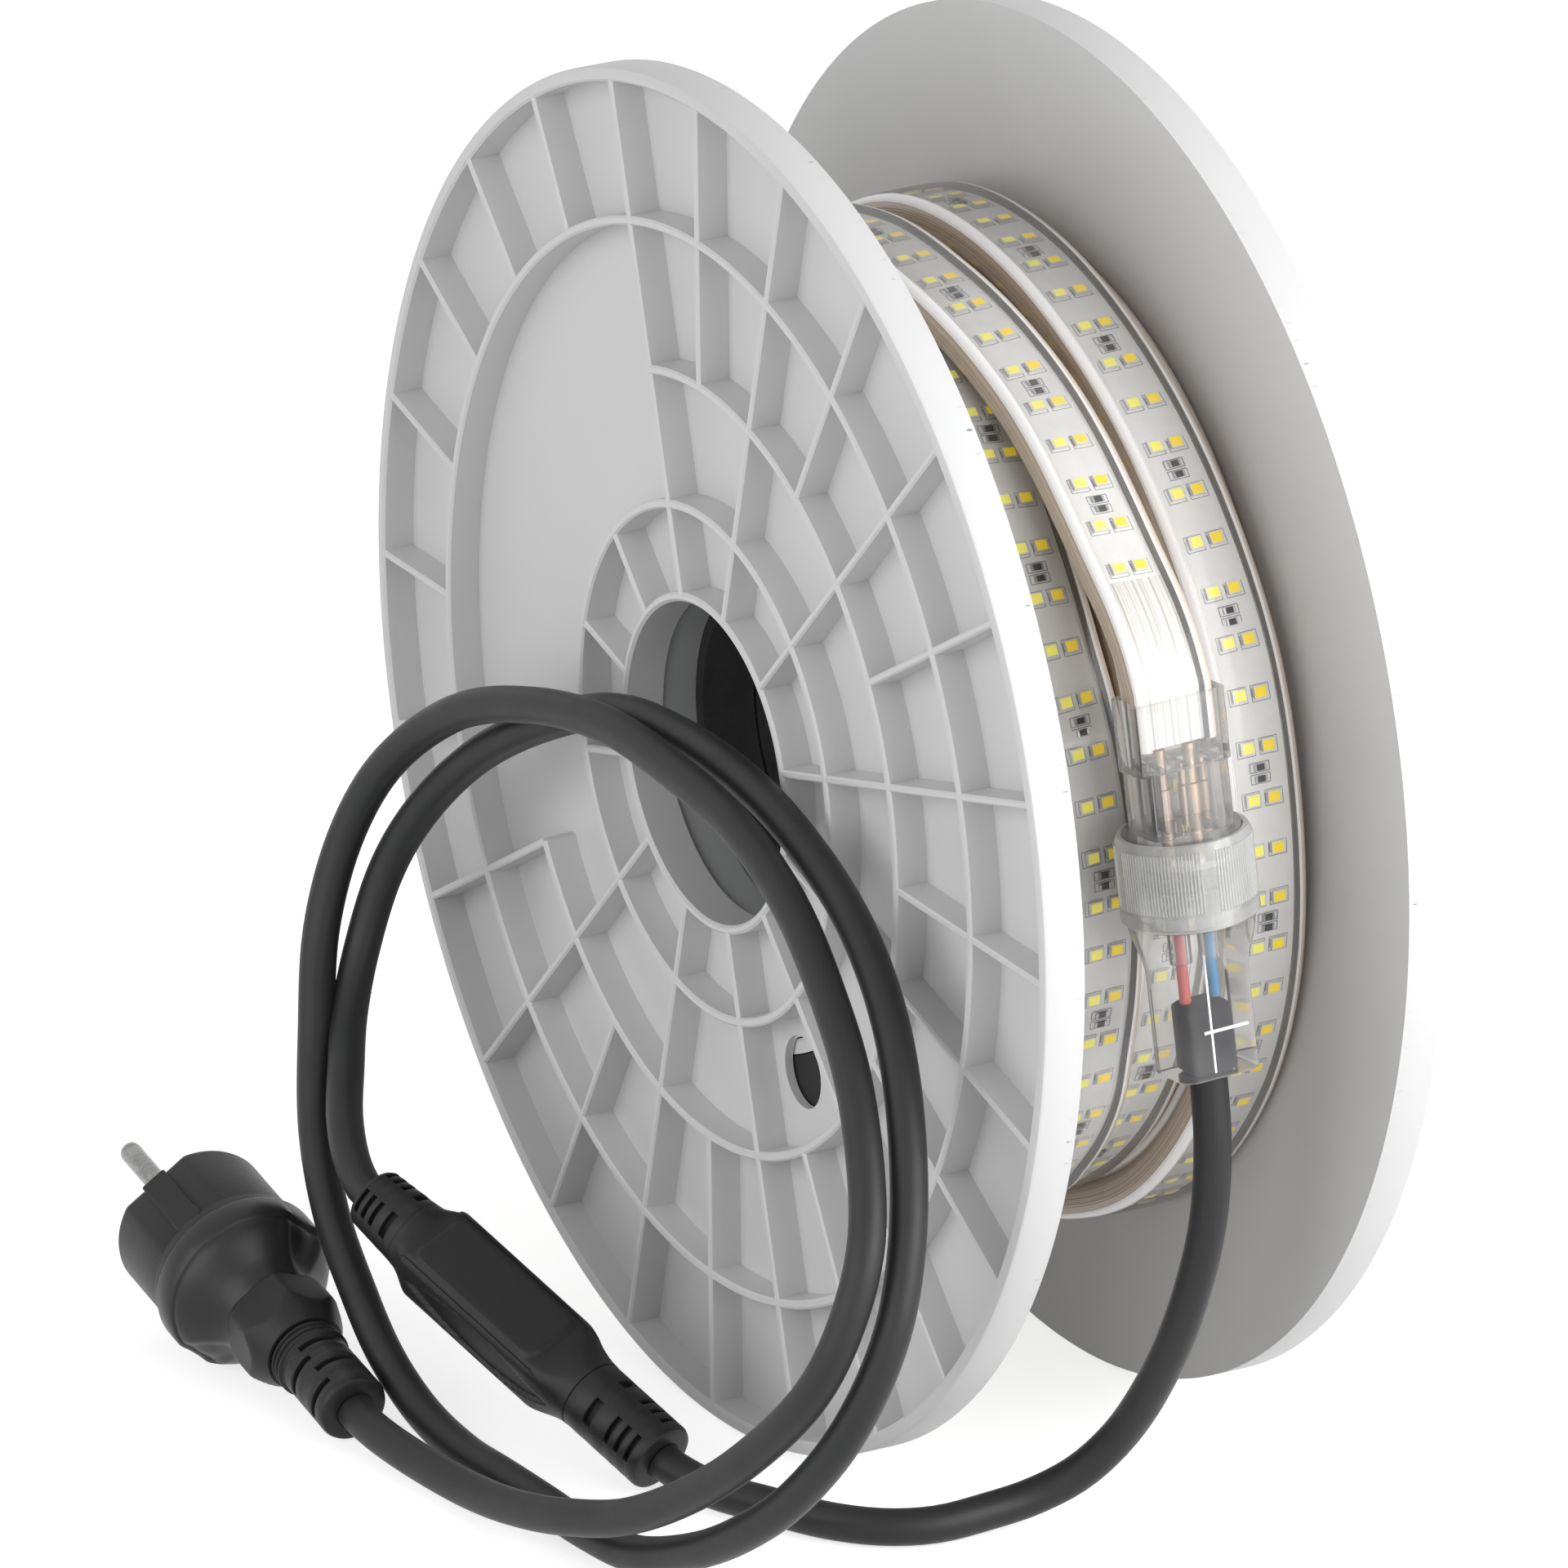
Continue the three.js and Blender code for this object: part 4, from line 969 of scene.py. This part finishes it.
def make_lamps(line, tangents, across, outward, bare_from):
    """Lamp pairs, resistor pairs and printed outlines along the whole board."""
    lengths = run_lengths(line)
    steps = np.diff(lengths)
    end = lengths[bare_from] - 3.0
    form = Form()
    body, warm, pale, trace, resistor, solder = range(6)
    count = int(end / LAMP_PITCH)
    for number in range(count):
        distance = end - number * LAMP_PITCH
        near = int(np.searchsorted(lengths, distance)) - 1
        share = (distance - lengths[near]) / steps[near]
        centre = line[near] * (1 - share) + line[near + 1] * share
        axes = (tangents[near], across[near], outward[near])
        for column, colour in ((-1, warm), (1, pale)):
            a = column * LAMP_COLUMNS / 2
            board_box(form, centre, axes, (3.3, 2.7, 0.8), (a, 0, 0), body)
            board_box(form, centre, axes, (2.5, 2.1, 0.06), (a - 0.15 * column, 0, 0.8), colour)
            outline_boxes(form, centre, axes, 4.3, 3.5, (a + 0.1 * column, 0.15), trace)
            board_box(form, centre, axes, (0.35, 2.0, 0.03), (a + column * -1.9, 0, 0), trace)
        if number % 3 == 1:
            for s in (-1.25, 1.25):
                along = s - LAMP_PITCH / 2
                board_box(form, centre, axes, (1.8, 1.3, 0.45), (0, along, 0), resistor)
                for a in (-1.15, 1.15):
                    board_box(form, centre, axes, (0.5, 1.35, 0.46), (a, along, 0), solder)
                outline_boxes(form, centre, axes, 4.6, 2.0, (0, along), trace, 0.2)
    finishes = [LAMP_BODY, LAMP_WARM, LAMP_PALE, TRACE, RESISTOR, SOLDER]
    form.build("rope_lamps", finishes, "rope_sleeve", recalc=False)


def make_under_layers():
    """The filled layers below, as round-edged turns."""
    reach = INNER_FACE - TOUCH_GAP
    profile = [(64.8, -reach)]
    crown = LAYER_RADIUS - ROPE_THICKNESS - 0.3
    for turn in range(4):
        middle = -reach + (turn + 0.5) * LAYER_PITCH
        half = LAYER_PITCH / 2
        profile += [
            (crown - 3, middle - half), (crown - 1, middle - half + 0.9), (crown, middle - half + 2.6),
            (crown, middle + half - 2.6), (crown - 1, middle + half - 0.9),
        ]
    profile += [(crown - 3, reach), (64.8, reach)]
    form = Form()
    points, faces = about_reel(profile, 160)
    slots = []
    # End faces against the flanges get near black: painted shade in the hollow seen through the start hole.
    for face in faces:
        at_end = all(abs(points[i][0]) > reach - 0.1 for i in face)
        slots.append(1 if at_end else 0)
    form.add((points, faces, slots))
    piece = form.build("rope_under_layers", [SIDE, SLOT_SHADE], "rope_sleeve")
    store_across(piece, [v.co.x / MM + v.co.z / MM * 0.02 for v in piece.data.vertices])


def make_rope():
    line = strand_line()
    tangents, across, outward = strand_axes(line)
    steps = np.linalg.norm(np.diff(line, axis=0), axis=1)
    from_end = np.cumsum(steps[::-1])[::-1]
    bare_from = int(np.argmax(from_end < BARE_SLEEVE + 10.7))
    make_sleeve(line, across, outward, bare_from)
    make_skin(line[:-2], across[:-2], outward[:-2])
    make_lamps(line, tangents, across, outward, bare_from)
    make_under_layers()


make_rope()


# Connector

SOCKET_WIDTH = 22.2
SOCKET_DEPTH = 12.0
SOCKET_HEAD = 15.3
NUT_START = 29.5
NUT_LENGTH = 18.9
NUT_RADIUS = 14.7
SPIGOT_END = 34.0
PLUG_NECK_RADIUS = 11.3
TAPER_RADIUS = 13.5
TAPER_LENGTH = 12.5
TAIL_WIDTH = 18.6
TAIL_DEPTH = 15.4
GROMMET_SIZE = 10.2
GROMMET_LENGTH = 15.0
PIN_SPACING = 7.0


def moved(shape, x=0.0, y=0.0, z=0.0):
    points, faces = shape
    return [(px + x, py + y, pz + z) for px, py, pz in points], faces


def tube(outer, inner, start, end, segments=64):
    return lathe([(inner, start), (outer, start), (outer, end), (inner, end)], segments)


def rod(radius, start, end, x=0.0, segments=24):
    profile = [(radius * 0.7, start), (radius, start + 0.3), (radius, end - 0.3), (radius * 0.7, end)]
    return moved(turned_rings(profile, segments), x)


def hollow_block(width, depth, wall, start, end, radius):
    """Rectangular tube along Y with round corners."""
    outer = rounded_rect(width, depth, radius)
    inner = rounded_rect(width - 2 * wall, depth - 2 * wall, max(0.4, radius - wall))
    rings = []
    for outline, height in ((inner, start), (outer, start), (outer, end), (inner, end)):
        rings.append([(x, height, z) for x, z in outline])
    points = [p for ring in rings for p in ring]
    return points, ring_faces(4, len(outer), closed=True)


def make_connector():
    place = Place(CONNECTOR_TOP, CONNECTOR_ALONG, (0, 1, 0))
    nut_bore = NUT_RADIUS - 1.9
    spigot = nut_bore - TOUCH_GAP
    nut_end = NUT_START + NUT_LENGTH
    taper_start = nut_end + TOUCH_GAP
    taper_end = taper_start + TAPER_LENGTH
    plug_face = SPIGOT_END + 2
    lip = plug_face + 4.3

    socket = [
        hollow_block(SOCKET_WIDTH, SOCKET_DEPTH, 1.5, 0, SOCKET_HEAD, 2.4),
        hollow_block(19.6, 15, 1.6, SOCKET_HEAD - 0.6, NUT_START - TOUCH_GAP, 3.2),
        soft_block(17.0, 9.4, 12.6, 15.2, 1.0),
        *[moved(soft_block(1.3, 10.5, 14, 28.5, 0.5), x) for x in (-5.6, 0.0, 5.6)],
        tube(spigot, 8.2, NUT_START - 0.6, SPIGOT_END),
    ]
    Form(socket, place).build("strip_socket_clear", [CLEAR], "clear_plastic", "strip_socket")

    for index, side in enumerate((-1, 1)):
        x = side * PIN_SPACING / 2
        pin = Form([rod(1.3, 11.3, 50, x), rod(1.75, 20, 27, x)], place)
        pin.build(f"connector_pin_{index + 1}", [CONTACT], "nickel", f"contact_pin_{index + 1}")

    seal = Form([tube(11.5, 8.5, SPIGOT_END + 0.3, plug_face - 0.3)], place)
    seal.build("connector_seal", [SEAL], "seal_rubber", "seal_ring")

    ribs = 120
    profile = [
        (nut_bore, NUT_START), (NUT_RADIUS - 0.9, NUT_START), (NUT_RADIUS - 0.35, NUT_START + 1.0),
        (NUT_RADIUS - 0.35, nut_end - 3.6), (NUT_RADIUS, nut_end - 3.2), (NUT_RADIUS, nut_end - 0.6),
        (NUT_RADIUS - 0.6, nut_end), (PLUG_NECK_RADIUS + 0.3, nut_end),
        (PLUG_NECK_RADIUS + 0.3, lip + 0.3), (nut_bore, lip + 0.3),
    ]
    nut = Form([lathe(profile, 128)], place)
    for index in range(ribs):
        if index % 30 > 25:
            continue
        angle = 2 * math.pi * index / ribs
        rib = soft_block(0.36, 0.5, NUT_START + 1.6, nut_end - 3.8, 0.15, 0.2)
        points, faces = moved(rib, z=NUT_RADIUS - 0.3)
        cos, sin = math.cos(angle), math.sin(angle)
        nut.add(([(x * cos - z * sin, y, x * sin + z * cos) for x, y, z in points], faces), 0, place)
    nut.build("union_nut_clear", [NUT_CLEAR], "clear_plastic", "union_nut")

    shell = []
    steps = 10
    for step in range(steps + 1):
        ease = smooth_step(step / steps)
        height = taper_start + TAPER_LENGTH * step / steps
        ring = []
        for x, z in rounded_rect(TAIL_WIDTH, TAIL_DEPTH, 3.0, 7):
            angle = math.atan2(z, x)
            round_x = TAPER_RADIUS * math.cos(angle)
            round_z = TAPER_RADIUS * math.sin(angle)
            ring.append((round_x * (1 - ease) + x * ease, height, round_z * (1 - ease) + z * ease))
        shell.append(ring)
    for inset, height in ((0.0, CONNECTOR_LENGTH - 0.5), (0.4, CONNECTOR_LENGTH)):
        outline = rounded_rect(TAIL_WIDTH - 2 * inset, TAIL_DEPTH - 2 * inset, 3.0, 7)
        shell.append([(x, height, z) for x, z in outline])
    body = Form([
        loft(shell),
        tube(spigot, 8.5, plug_face, lip),
        tube(PLUG_NECK_RADIUS, 8.5, lip - 0.3, taper_start + 0.8),
        *[moved(tube(2.4, 1.5, lip, taper_end - 3, 28), x) for x in (-3.5, 3.5)],
    ], place)
    face = TAIL_DEPTH / 2
    # Moulding seam ridge and short tick on the tail's face, painted near white as the highlight they catch.
    seam = soft_block(0.5, 0.3, taper_end - 6, CONNECTOR_LENGTH - 1.5, 0.1, 0.1)
    body.add(moved(seam, 2.1, 0, face), 1, place)
    body.add(moved(soft_block(10.5, 0.3, -0.35, 0.35, 0.1, 0.1), -1.4, 72, face), 1, place)
    body.build("cable_plug_clear", [CLEAR, SEAM_HIGHLIGHT], "clear_plastic", "cable_plug_body")

    start = CONNECTOR_LENGTH - GROMMET_LENGTH
    block = soft_block(GROMMET_SIZE, GROMMET_SIZE, start, CONNECTOR_LENGTH - 0.3, 1.8, 0.6)
    Form([block], place).build("grommet_block", [GROMMET_BLACK], "black_moulding", "grommet")
    cores = (("red_core", 1, RED, "red_insulation"), ("blue_core", -1, BLUE, "blue_insulation"))
    for name, side, colour, slot in cores:
        core = rod(1.25, 50.3, start - 0.3, side * PIN_SPACING / 2)
        Form([core], place).build(name + "_wire", [colour], slot, name)


make_connector()


# Strain reliefs: a slotted sleeve, made of bands that are joined by short bridges


def slotted_relief(form, start, end, radius_start, radius_end, slots, place, bridge_deg, bridges, round_at):
    """Bands between the slots, bridges across each slot, and a core inside that stands for the cable,
    painted near black as the shade seen through the slots.

    A slot is (low, high, angle of its first bridge). The band at round_at has a round edge there.
    """
    def radius_at(height):
        return radius_start + (radius_end - radius_start) * (height - start) / (end - start)

    # Core: stands for the cable inside; its near black is painted shade seen through the slots.
    core_start = radius_at(start) - 1.6
    core_end = radius_at(end) - 1.6
    core = [(0.01, start + 0.2), (core_start, start + 0.2), (core_end, end - 0.2), (0.01, end - 0.2)]
    form.add(turned_rings(core, 40), 1, place)
    edges = [start] + [edge for slot in slots for edge in slot[:2]] + [end]
    for low, high in zip(edges[::2], edges[1::2]):
        plain_ease = min(0.25, (high - low) / 4)
        low_ease = 1.2 if low == round_at else plain_ease
        high_ease = 1.2 if high == round_at else plain_ease
        form.add(lathe([
            (cable_hole(), low), (radius_at(low) - low_ease, low),
            (radius_at(low) - low_ease * 0.3, low + low_ease * 0.3), (radius_at(low), low + low_ease),
            (radius_at(high), high - high_ease), (radius_at(high) - high_ease * 0.3, high - high_ease * 0.3),
            (radius_at(high) - high_ease, high), (cable_hole(), high),
        ], 64), 0, place)
    for low, high, first in slots:
        for number in range(bridges):
            middle = math.radians(first + number * 360 / bridges)
            half = math.radians(bridge_deg / 2)
            steps = 6 if bridge_deg < 60 else 16
            sweep = [middle - half + 2 * half * step / steps for step in range(steps + 1)]
            rings = []
            for height in (low - 0.3, high + 0.3):
                outer = radius_at(height) - 0.02
                rings.append(ring_at(outer, height, sweep) + ring_at(outer - 2.2, height, sweep[::-1]))
            form.add(loft(rings), 0, place)


def cable_hole():
    return CABLE_DIAMETER / 2 + 0.25


# Rectifier

PLATEAU_MIDDLE = 0.54
PLATEAU_HALF_LENGTH = 19.0
PLATEAU_HALF_WIDTH = 7.4
PLATEAU_CORNER = 3.4
PLATEAU_HEIGHT = 0.8
LENS_MIDDLE = 0.48
LENS_HALF_SHARE = 0.41
LENS_HALF_HEIGHT = 5.2
LENS_DEPTH = 0.9


def even_outline(width, depth, radius, count):
    """Evenly spaced points round a rectangle with round corners, from the middle of its +X side."""
    corners = [(width / 2, 0), *rounded_rect(width, depth, radius, 8), (width / 2, 0)]
    line = np.array(corners)
    lengths = run_lengths(line)
    wanted = np.linspace(0, lengths[-1], count + 1)[:-1]
    return [(np.interp(s, lengths, line[:, 0]), np.interp(s, lengths, line[:, 1])) for s in wanted]


def rectifier_ring(share, count=128):
    """Section of the rectifier's body at a share of its length, as (X, Z) points."""
    grow = smooth_step(share / 0.2) * smooth_step((1 - share) / 0.12)
    small = RELIEF_RADIUS + 0.1
    outline = even_outline(RECTIFIER_WIDTH, RECTIFIER_THICKNESS, 3.2, count)
    along = (share - PLATEAU_MIDDLE) * RECTIFIER_BODY
    lens = LENS_HALF_HEIGHT * max(0.0, 1 - ((share - LENS_MIDDLE) / LENS_HALF_SHARE) ** 2)
    ring = []
    for angle, (wide_x, wide_z) in zip(ring_points(count), outline):
        x = small * math.cos(angle) * (1 - grow) + wide_x * grow
        z = small * math.sin(angle) * (1 - grow) + wide_z * grow
        if z > 0 and abs(x) < RECTIFIER_WIDTH / 2 - 0.9:
            outside = math.hypot(
                max(0.0, abs(along) - PLATEAU_HALF_LENGTH + PLATEAU_CORNER),
                max(0.0, abs(x) - PLATEAU_HALF_WIDTH + PLATEAU_CORNER),
            ) - PLATEAU_CORNER
            z -= PLATEAU_HEIGHT * smooth_step(0.5 + outside / 0.9) * grow
        if abs(x) > RECTIFIER_WIDTH * 0.36:
            x -= math.copysign(LENS_DEPTH * smooth_step((lens - abs(z + 0.6)) / 0.8), x)
        ring.append((x, z))
    return ring


def make_rectifier():
    upward = -RECTIFIER_ALONG
    place = Place(RECTIFIER_REEL_END, upward, RECTIFIER_FACING)
    rings = []
    count = 110
    for step in range(count + 1):
        share = step / count
        height = RECTIFIER_REEL_RELIEF + RECTIFIER_BODY * share
        rings.append([(x, height, z) for x, z in rectifier_ring(share)])
    body = Form([loft(rings)], place)
    piece_body = body.build("rectifier_shell", [BLACK_MOULDING], "black_moulding", "rectifier_body")

    lower = Form()
    slots = [(3.0, 4.3, 0), (6.2, 7.5, 0), (9.4, 10.7, 0), (15.2, 17.4, 0)]
    slotted_relief(lower, 0, RECTIFIER_REEL_RELIEF, RELIEF_RADIUS, RELIEF_RADIUS, slots, place, 42, 4, 0)
    finishes = [BLACK_MOULDING, SLOT_SHADE]
    piece_lower = lower.build("rectifier_boot_reel", finishes, "black_moulding", "rectifier_relief_reel")

    upper = Form()
    start = RECTIFIER_REEL_RELIEF + RECTIFIER_BODY
    slots = [(start + 2.6, start + 4.4, 0), (start + 7.0, start + 8.1, 0), (start + 9.6, start + 10.7, 0),
             (start + 12.0, start + 13.0, 0)]
    end = RECTIFIER_LENGTH
    slotted_relief(upper, start, end, RELIEF_RADIUS, RELIEF_RADIUS - 1.1, slots, place, 42, 4, end)
    piece_upper = upper.build("rectifier_boot_mains", finishes, "black_moulding", "rectifier_relief_mains")
    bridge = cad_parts["bridge_rectifier"]
    for item in bridge.material_slots:
        item.material = BLACK_MOULDING
    return [piece_body, piece_lower, piece_upper, bridge]


rectifier_pieces = make_rectifier()


# Plug

PLUG_RELIEF_LENGTH = 23.4
GLAND_LENGTH = 14.5
GLAND_FLATS = 22.0
GLAND_BACK_RADIUS = 9.0
GLAND_BACK_SLOPE = 0.52
GLAND_FRONT_RADIUS = 12.9
GLAND_HOLE_RADIUS = 8.1
GLAND_TURN_DEG = 32
DOME_LENGTH = 11.0
SHOULDER_LENGTH = 10.3
SHOULDER_RADIUS = 19.5
BARREL_RADIUS = 17.8
BARREL_LENGTH = 20.2
PLUG_PIN_RADIUS = 2.4
PLUG_PIN_LENGTH = 19.0
PLUG_PIN_SPACING = 19.0
PLUG_PIN_ROOT = 11.7
THUMB_MIDDLE = 8.4
THUMB_HALF_LENGTH = 5.2
THUMB_DEG = 12
THUMB_HALF_DEG = 18
THUMB_DEPTH = 1.0
DOME_NECK = 9


def rounded_polygon_radius(angle, sides, flats, soften=0.35):
    """Distance to a polygon's edge at an angle, its corners eased towards a circle."""
    step = 2 * math.pi / sides
    local = (angle + step / 2) % step - step / 2
    sharp = flats / 2 / math.cos(local)
    limit = flats / 2 * 1.105
    return min(sharp, limit + (sharp - limit) * soften)


def make_plug():
    place = Place(PLUG_CABLE_END, PLUG_ALONG, PLUG_FACING)
    nut_start = PLUG_RELIEF_LENGTH
    nut_end = nut_start + GLAND_LENGTH
    shoulder_start = nut_end + DOME_LENGTH
    shoulder_end = shoulder_start + SHOULDER_LENGTH
    face_end = shoulder_end + BARREL_LENGTH

    relief = Form()
    slots = [(3.6, 5.2, 35), (8.4, 10.0, 145), (12.8, 14.4, 35), (16.4, 18.0, 145)]
    slotted_relief(relief, 0, nut_start + 2.9, 7.9, 7.7, slots, place, 104, 2, 0)
    threads = [(0.01, nut_start - 4.6)]
    for ring in range(3):
        low = nut_start - 4.6 + ring * 1.5
        threads += [(7.4, low), (8.5, low + 0.5), (8.5, low + 0.9), (7.4, low + 1.4)]
    threads += [(7.2, nut_start + 1.0), (0.01, nut_start + 1.0)]
    relief.add(turned_rings(threads, 48), 0, place)
    piece_relief = relief.build("plug_boot", [BLACK_MOULDING, SLOT_SHADE], "black_moulding", "plug_relief")

    rings = []
    around = ring_points(120)
    steps = 24
    for step in range(steps + 1):
        height = nut_start + GLAND_LENGTH * step / steps
        behind = GLAND_BACK_RADIUS + (height - nut_start) * GLAND_BACK_SLOPE
        front = GLAND_FRONT_RADIUS - max(0.0, height - nut_end + 1.2)
        ring = []
        for angle in around:
            flat = rounded_polygon_radius(angle - math.radians(GLAND_TURN_DEG), 6, GLAND_FLATS)
            radius = min(flat, behind, front)
            ring.append((radius * math.cos(angle), height, radius * math.sin(angle)))
        rings.append(ring)
    closed = rings + [ring_at(GLAND_HOLE_RADIUS, height, around) for height in (nut_end, nut_start)]
    points = [p for ring in closed for p in ring]
    nut = Form([(points, ring_faces(len(closed), len(around), closed=True))], place)
    piece_nut = nut.build("plug_gland_nut", [BLACK_MOULDING], "black_moulding", "gland_nut")

    profile = [
        (0.01, nut_end + 0.3), (9.8, nut_end + 0.3), (10.3, nut_end + 0.8), (10.7, nut_end + 2.0),
        (11.6, nut_end + 3.6), (13.2, nut_end + 5.4), (15.3, nut_end + 7.2), (17.2, nut_end + 9.0),
        (18.2, shoulder_start - 0.7), (18.5, shoulder_start + 0.1), (18.55, shoulder_start + 0.5),
        (19.1, shoulder_start + 0.75), (SHOULDER_RADIUS, shoulder_start + 1.5),
        (SHOULDER_RADIUS, shoulder_end - 3.6), (SHOULDER_RADIUS - 0.2, shoulder_end - 3.1),
        (SHOULDER_RADIUS - 0.8, shoulder_end - 2.7), (SHOULDER_RADIUS - 0.8, shoulder_end - 1.5),
        (SHOULDER_RADIUS - 1.2, shoulder_end - 1.3), (SHOULDER_RADIUS - 1.2, shoulder_end - 0.1),
        (SHOULDER_RADIUS - 1.5, shoulder_end), (0.01, shoulder_end),
    ]
    points, faces = turned_rings(profile, 128)
    pressed = []
    for x, y, z in points:
        radius = math.hypot(x, z)
        angle = math.degrees(math.atan2(z, x))
        thumb = ((y - (nut_end + THUMB_MIDDLE)) / THUMB_HALF_LENGTH) ** 2
        sides = (THUMB_DEG, THUMB_DEG + 180)
        away = min(abs((angle - side + 180) % 360 - 180) for side in sides) / THUMB_HALF_DEG
        dent = smooth_step(1.35 - thumb - away**2) * THUMB_DEPTH
        scale = (radius - dent) / radius if radius > DOME_NECK else 1
        pressed.append((x * scale, y, z * scale))
    body = Form([(pressed, faces)], place)
    piece_body = body.build("plug_bell", [BLACK_GLOSS], "black_moulding", "plug_body")

    rings = []
    around = ring_points(144)
    flat_at = BARREL_RADIUS - 2.1
    for height, inset in (
        (shoulder_end + 0.3, 0.0), (face_end - 1.8, 0.0), (face_end - 0.9, 0.35),
        (face_end - 0.25, 1.1), (face_end, 2.2),
    ):
        ring = []
        for angle in around:
            radius = BARREL_RADIUS
            if abs(math.sin(angle)) > 0.5:
                radius = min(radius, flat_at / abs(math.sin(angle)))
            radius -= inset
            ring.append((radius * math.cos(angle), height, radius * math.sin(angle)))
        rings.append(ring)
    face = Form([loft(rings)], place)
    for side in (-1, 1):
        key = soft_block(6.2, 5.0, shoulder_end + 0.3, face_end - 1.0, 0.5, 0.5)
        foot = soft_block(6.6, 6.0, shoulder_end - 0.2, shoulder_end + 3.2, 0.5, 0.3)
        face.add(moved(key, z=side * (BARREL_RADIUS - 3.1)), 0, place)
        face.add(moved(foot, z=side * (BARREL_RADIUS - 2.6)), 0, place)
    piece_face = face.build("plug_front", [BLACK_MOULDING], "black_moulding", "plug_face")

    tip = face_end + PLUG_PIN_LENGTH
    root = face_end - PLUG_PIN_ROOT
    profile = [
        (0.01, root), (PLUG_PIN_RADIUS, root), (PLUG_PIN_RADIUS, tip - 1.8), (2.2, tip - 0.9),
        (1.6, tip - 0.25), (0.8, tip), (0.01, tip),
    ]
    pins = []
    for index, side in enumerate((-1, 1)):
        pin = Form([moved(turned_rings(profile, 40), z=side * PLUG_PIN_SPACING / 2)], place)
        pins.append(pin.build(f"plug_blade_{index + 1}", [NICKEL], "nickel", f"plug_pin_{index + 1}"))
    return [piece_relief, piece_nut, piece_body, piece_face, *pins]


plug_pieces = make_plug()
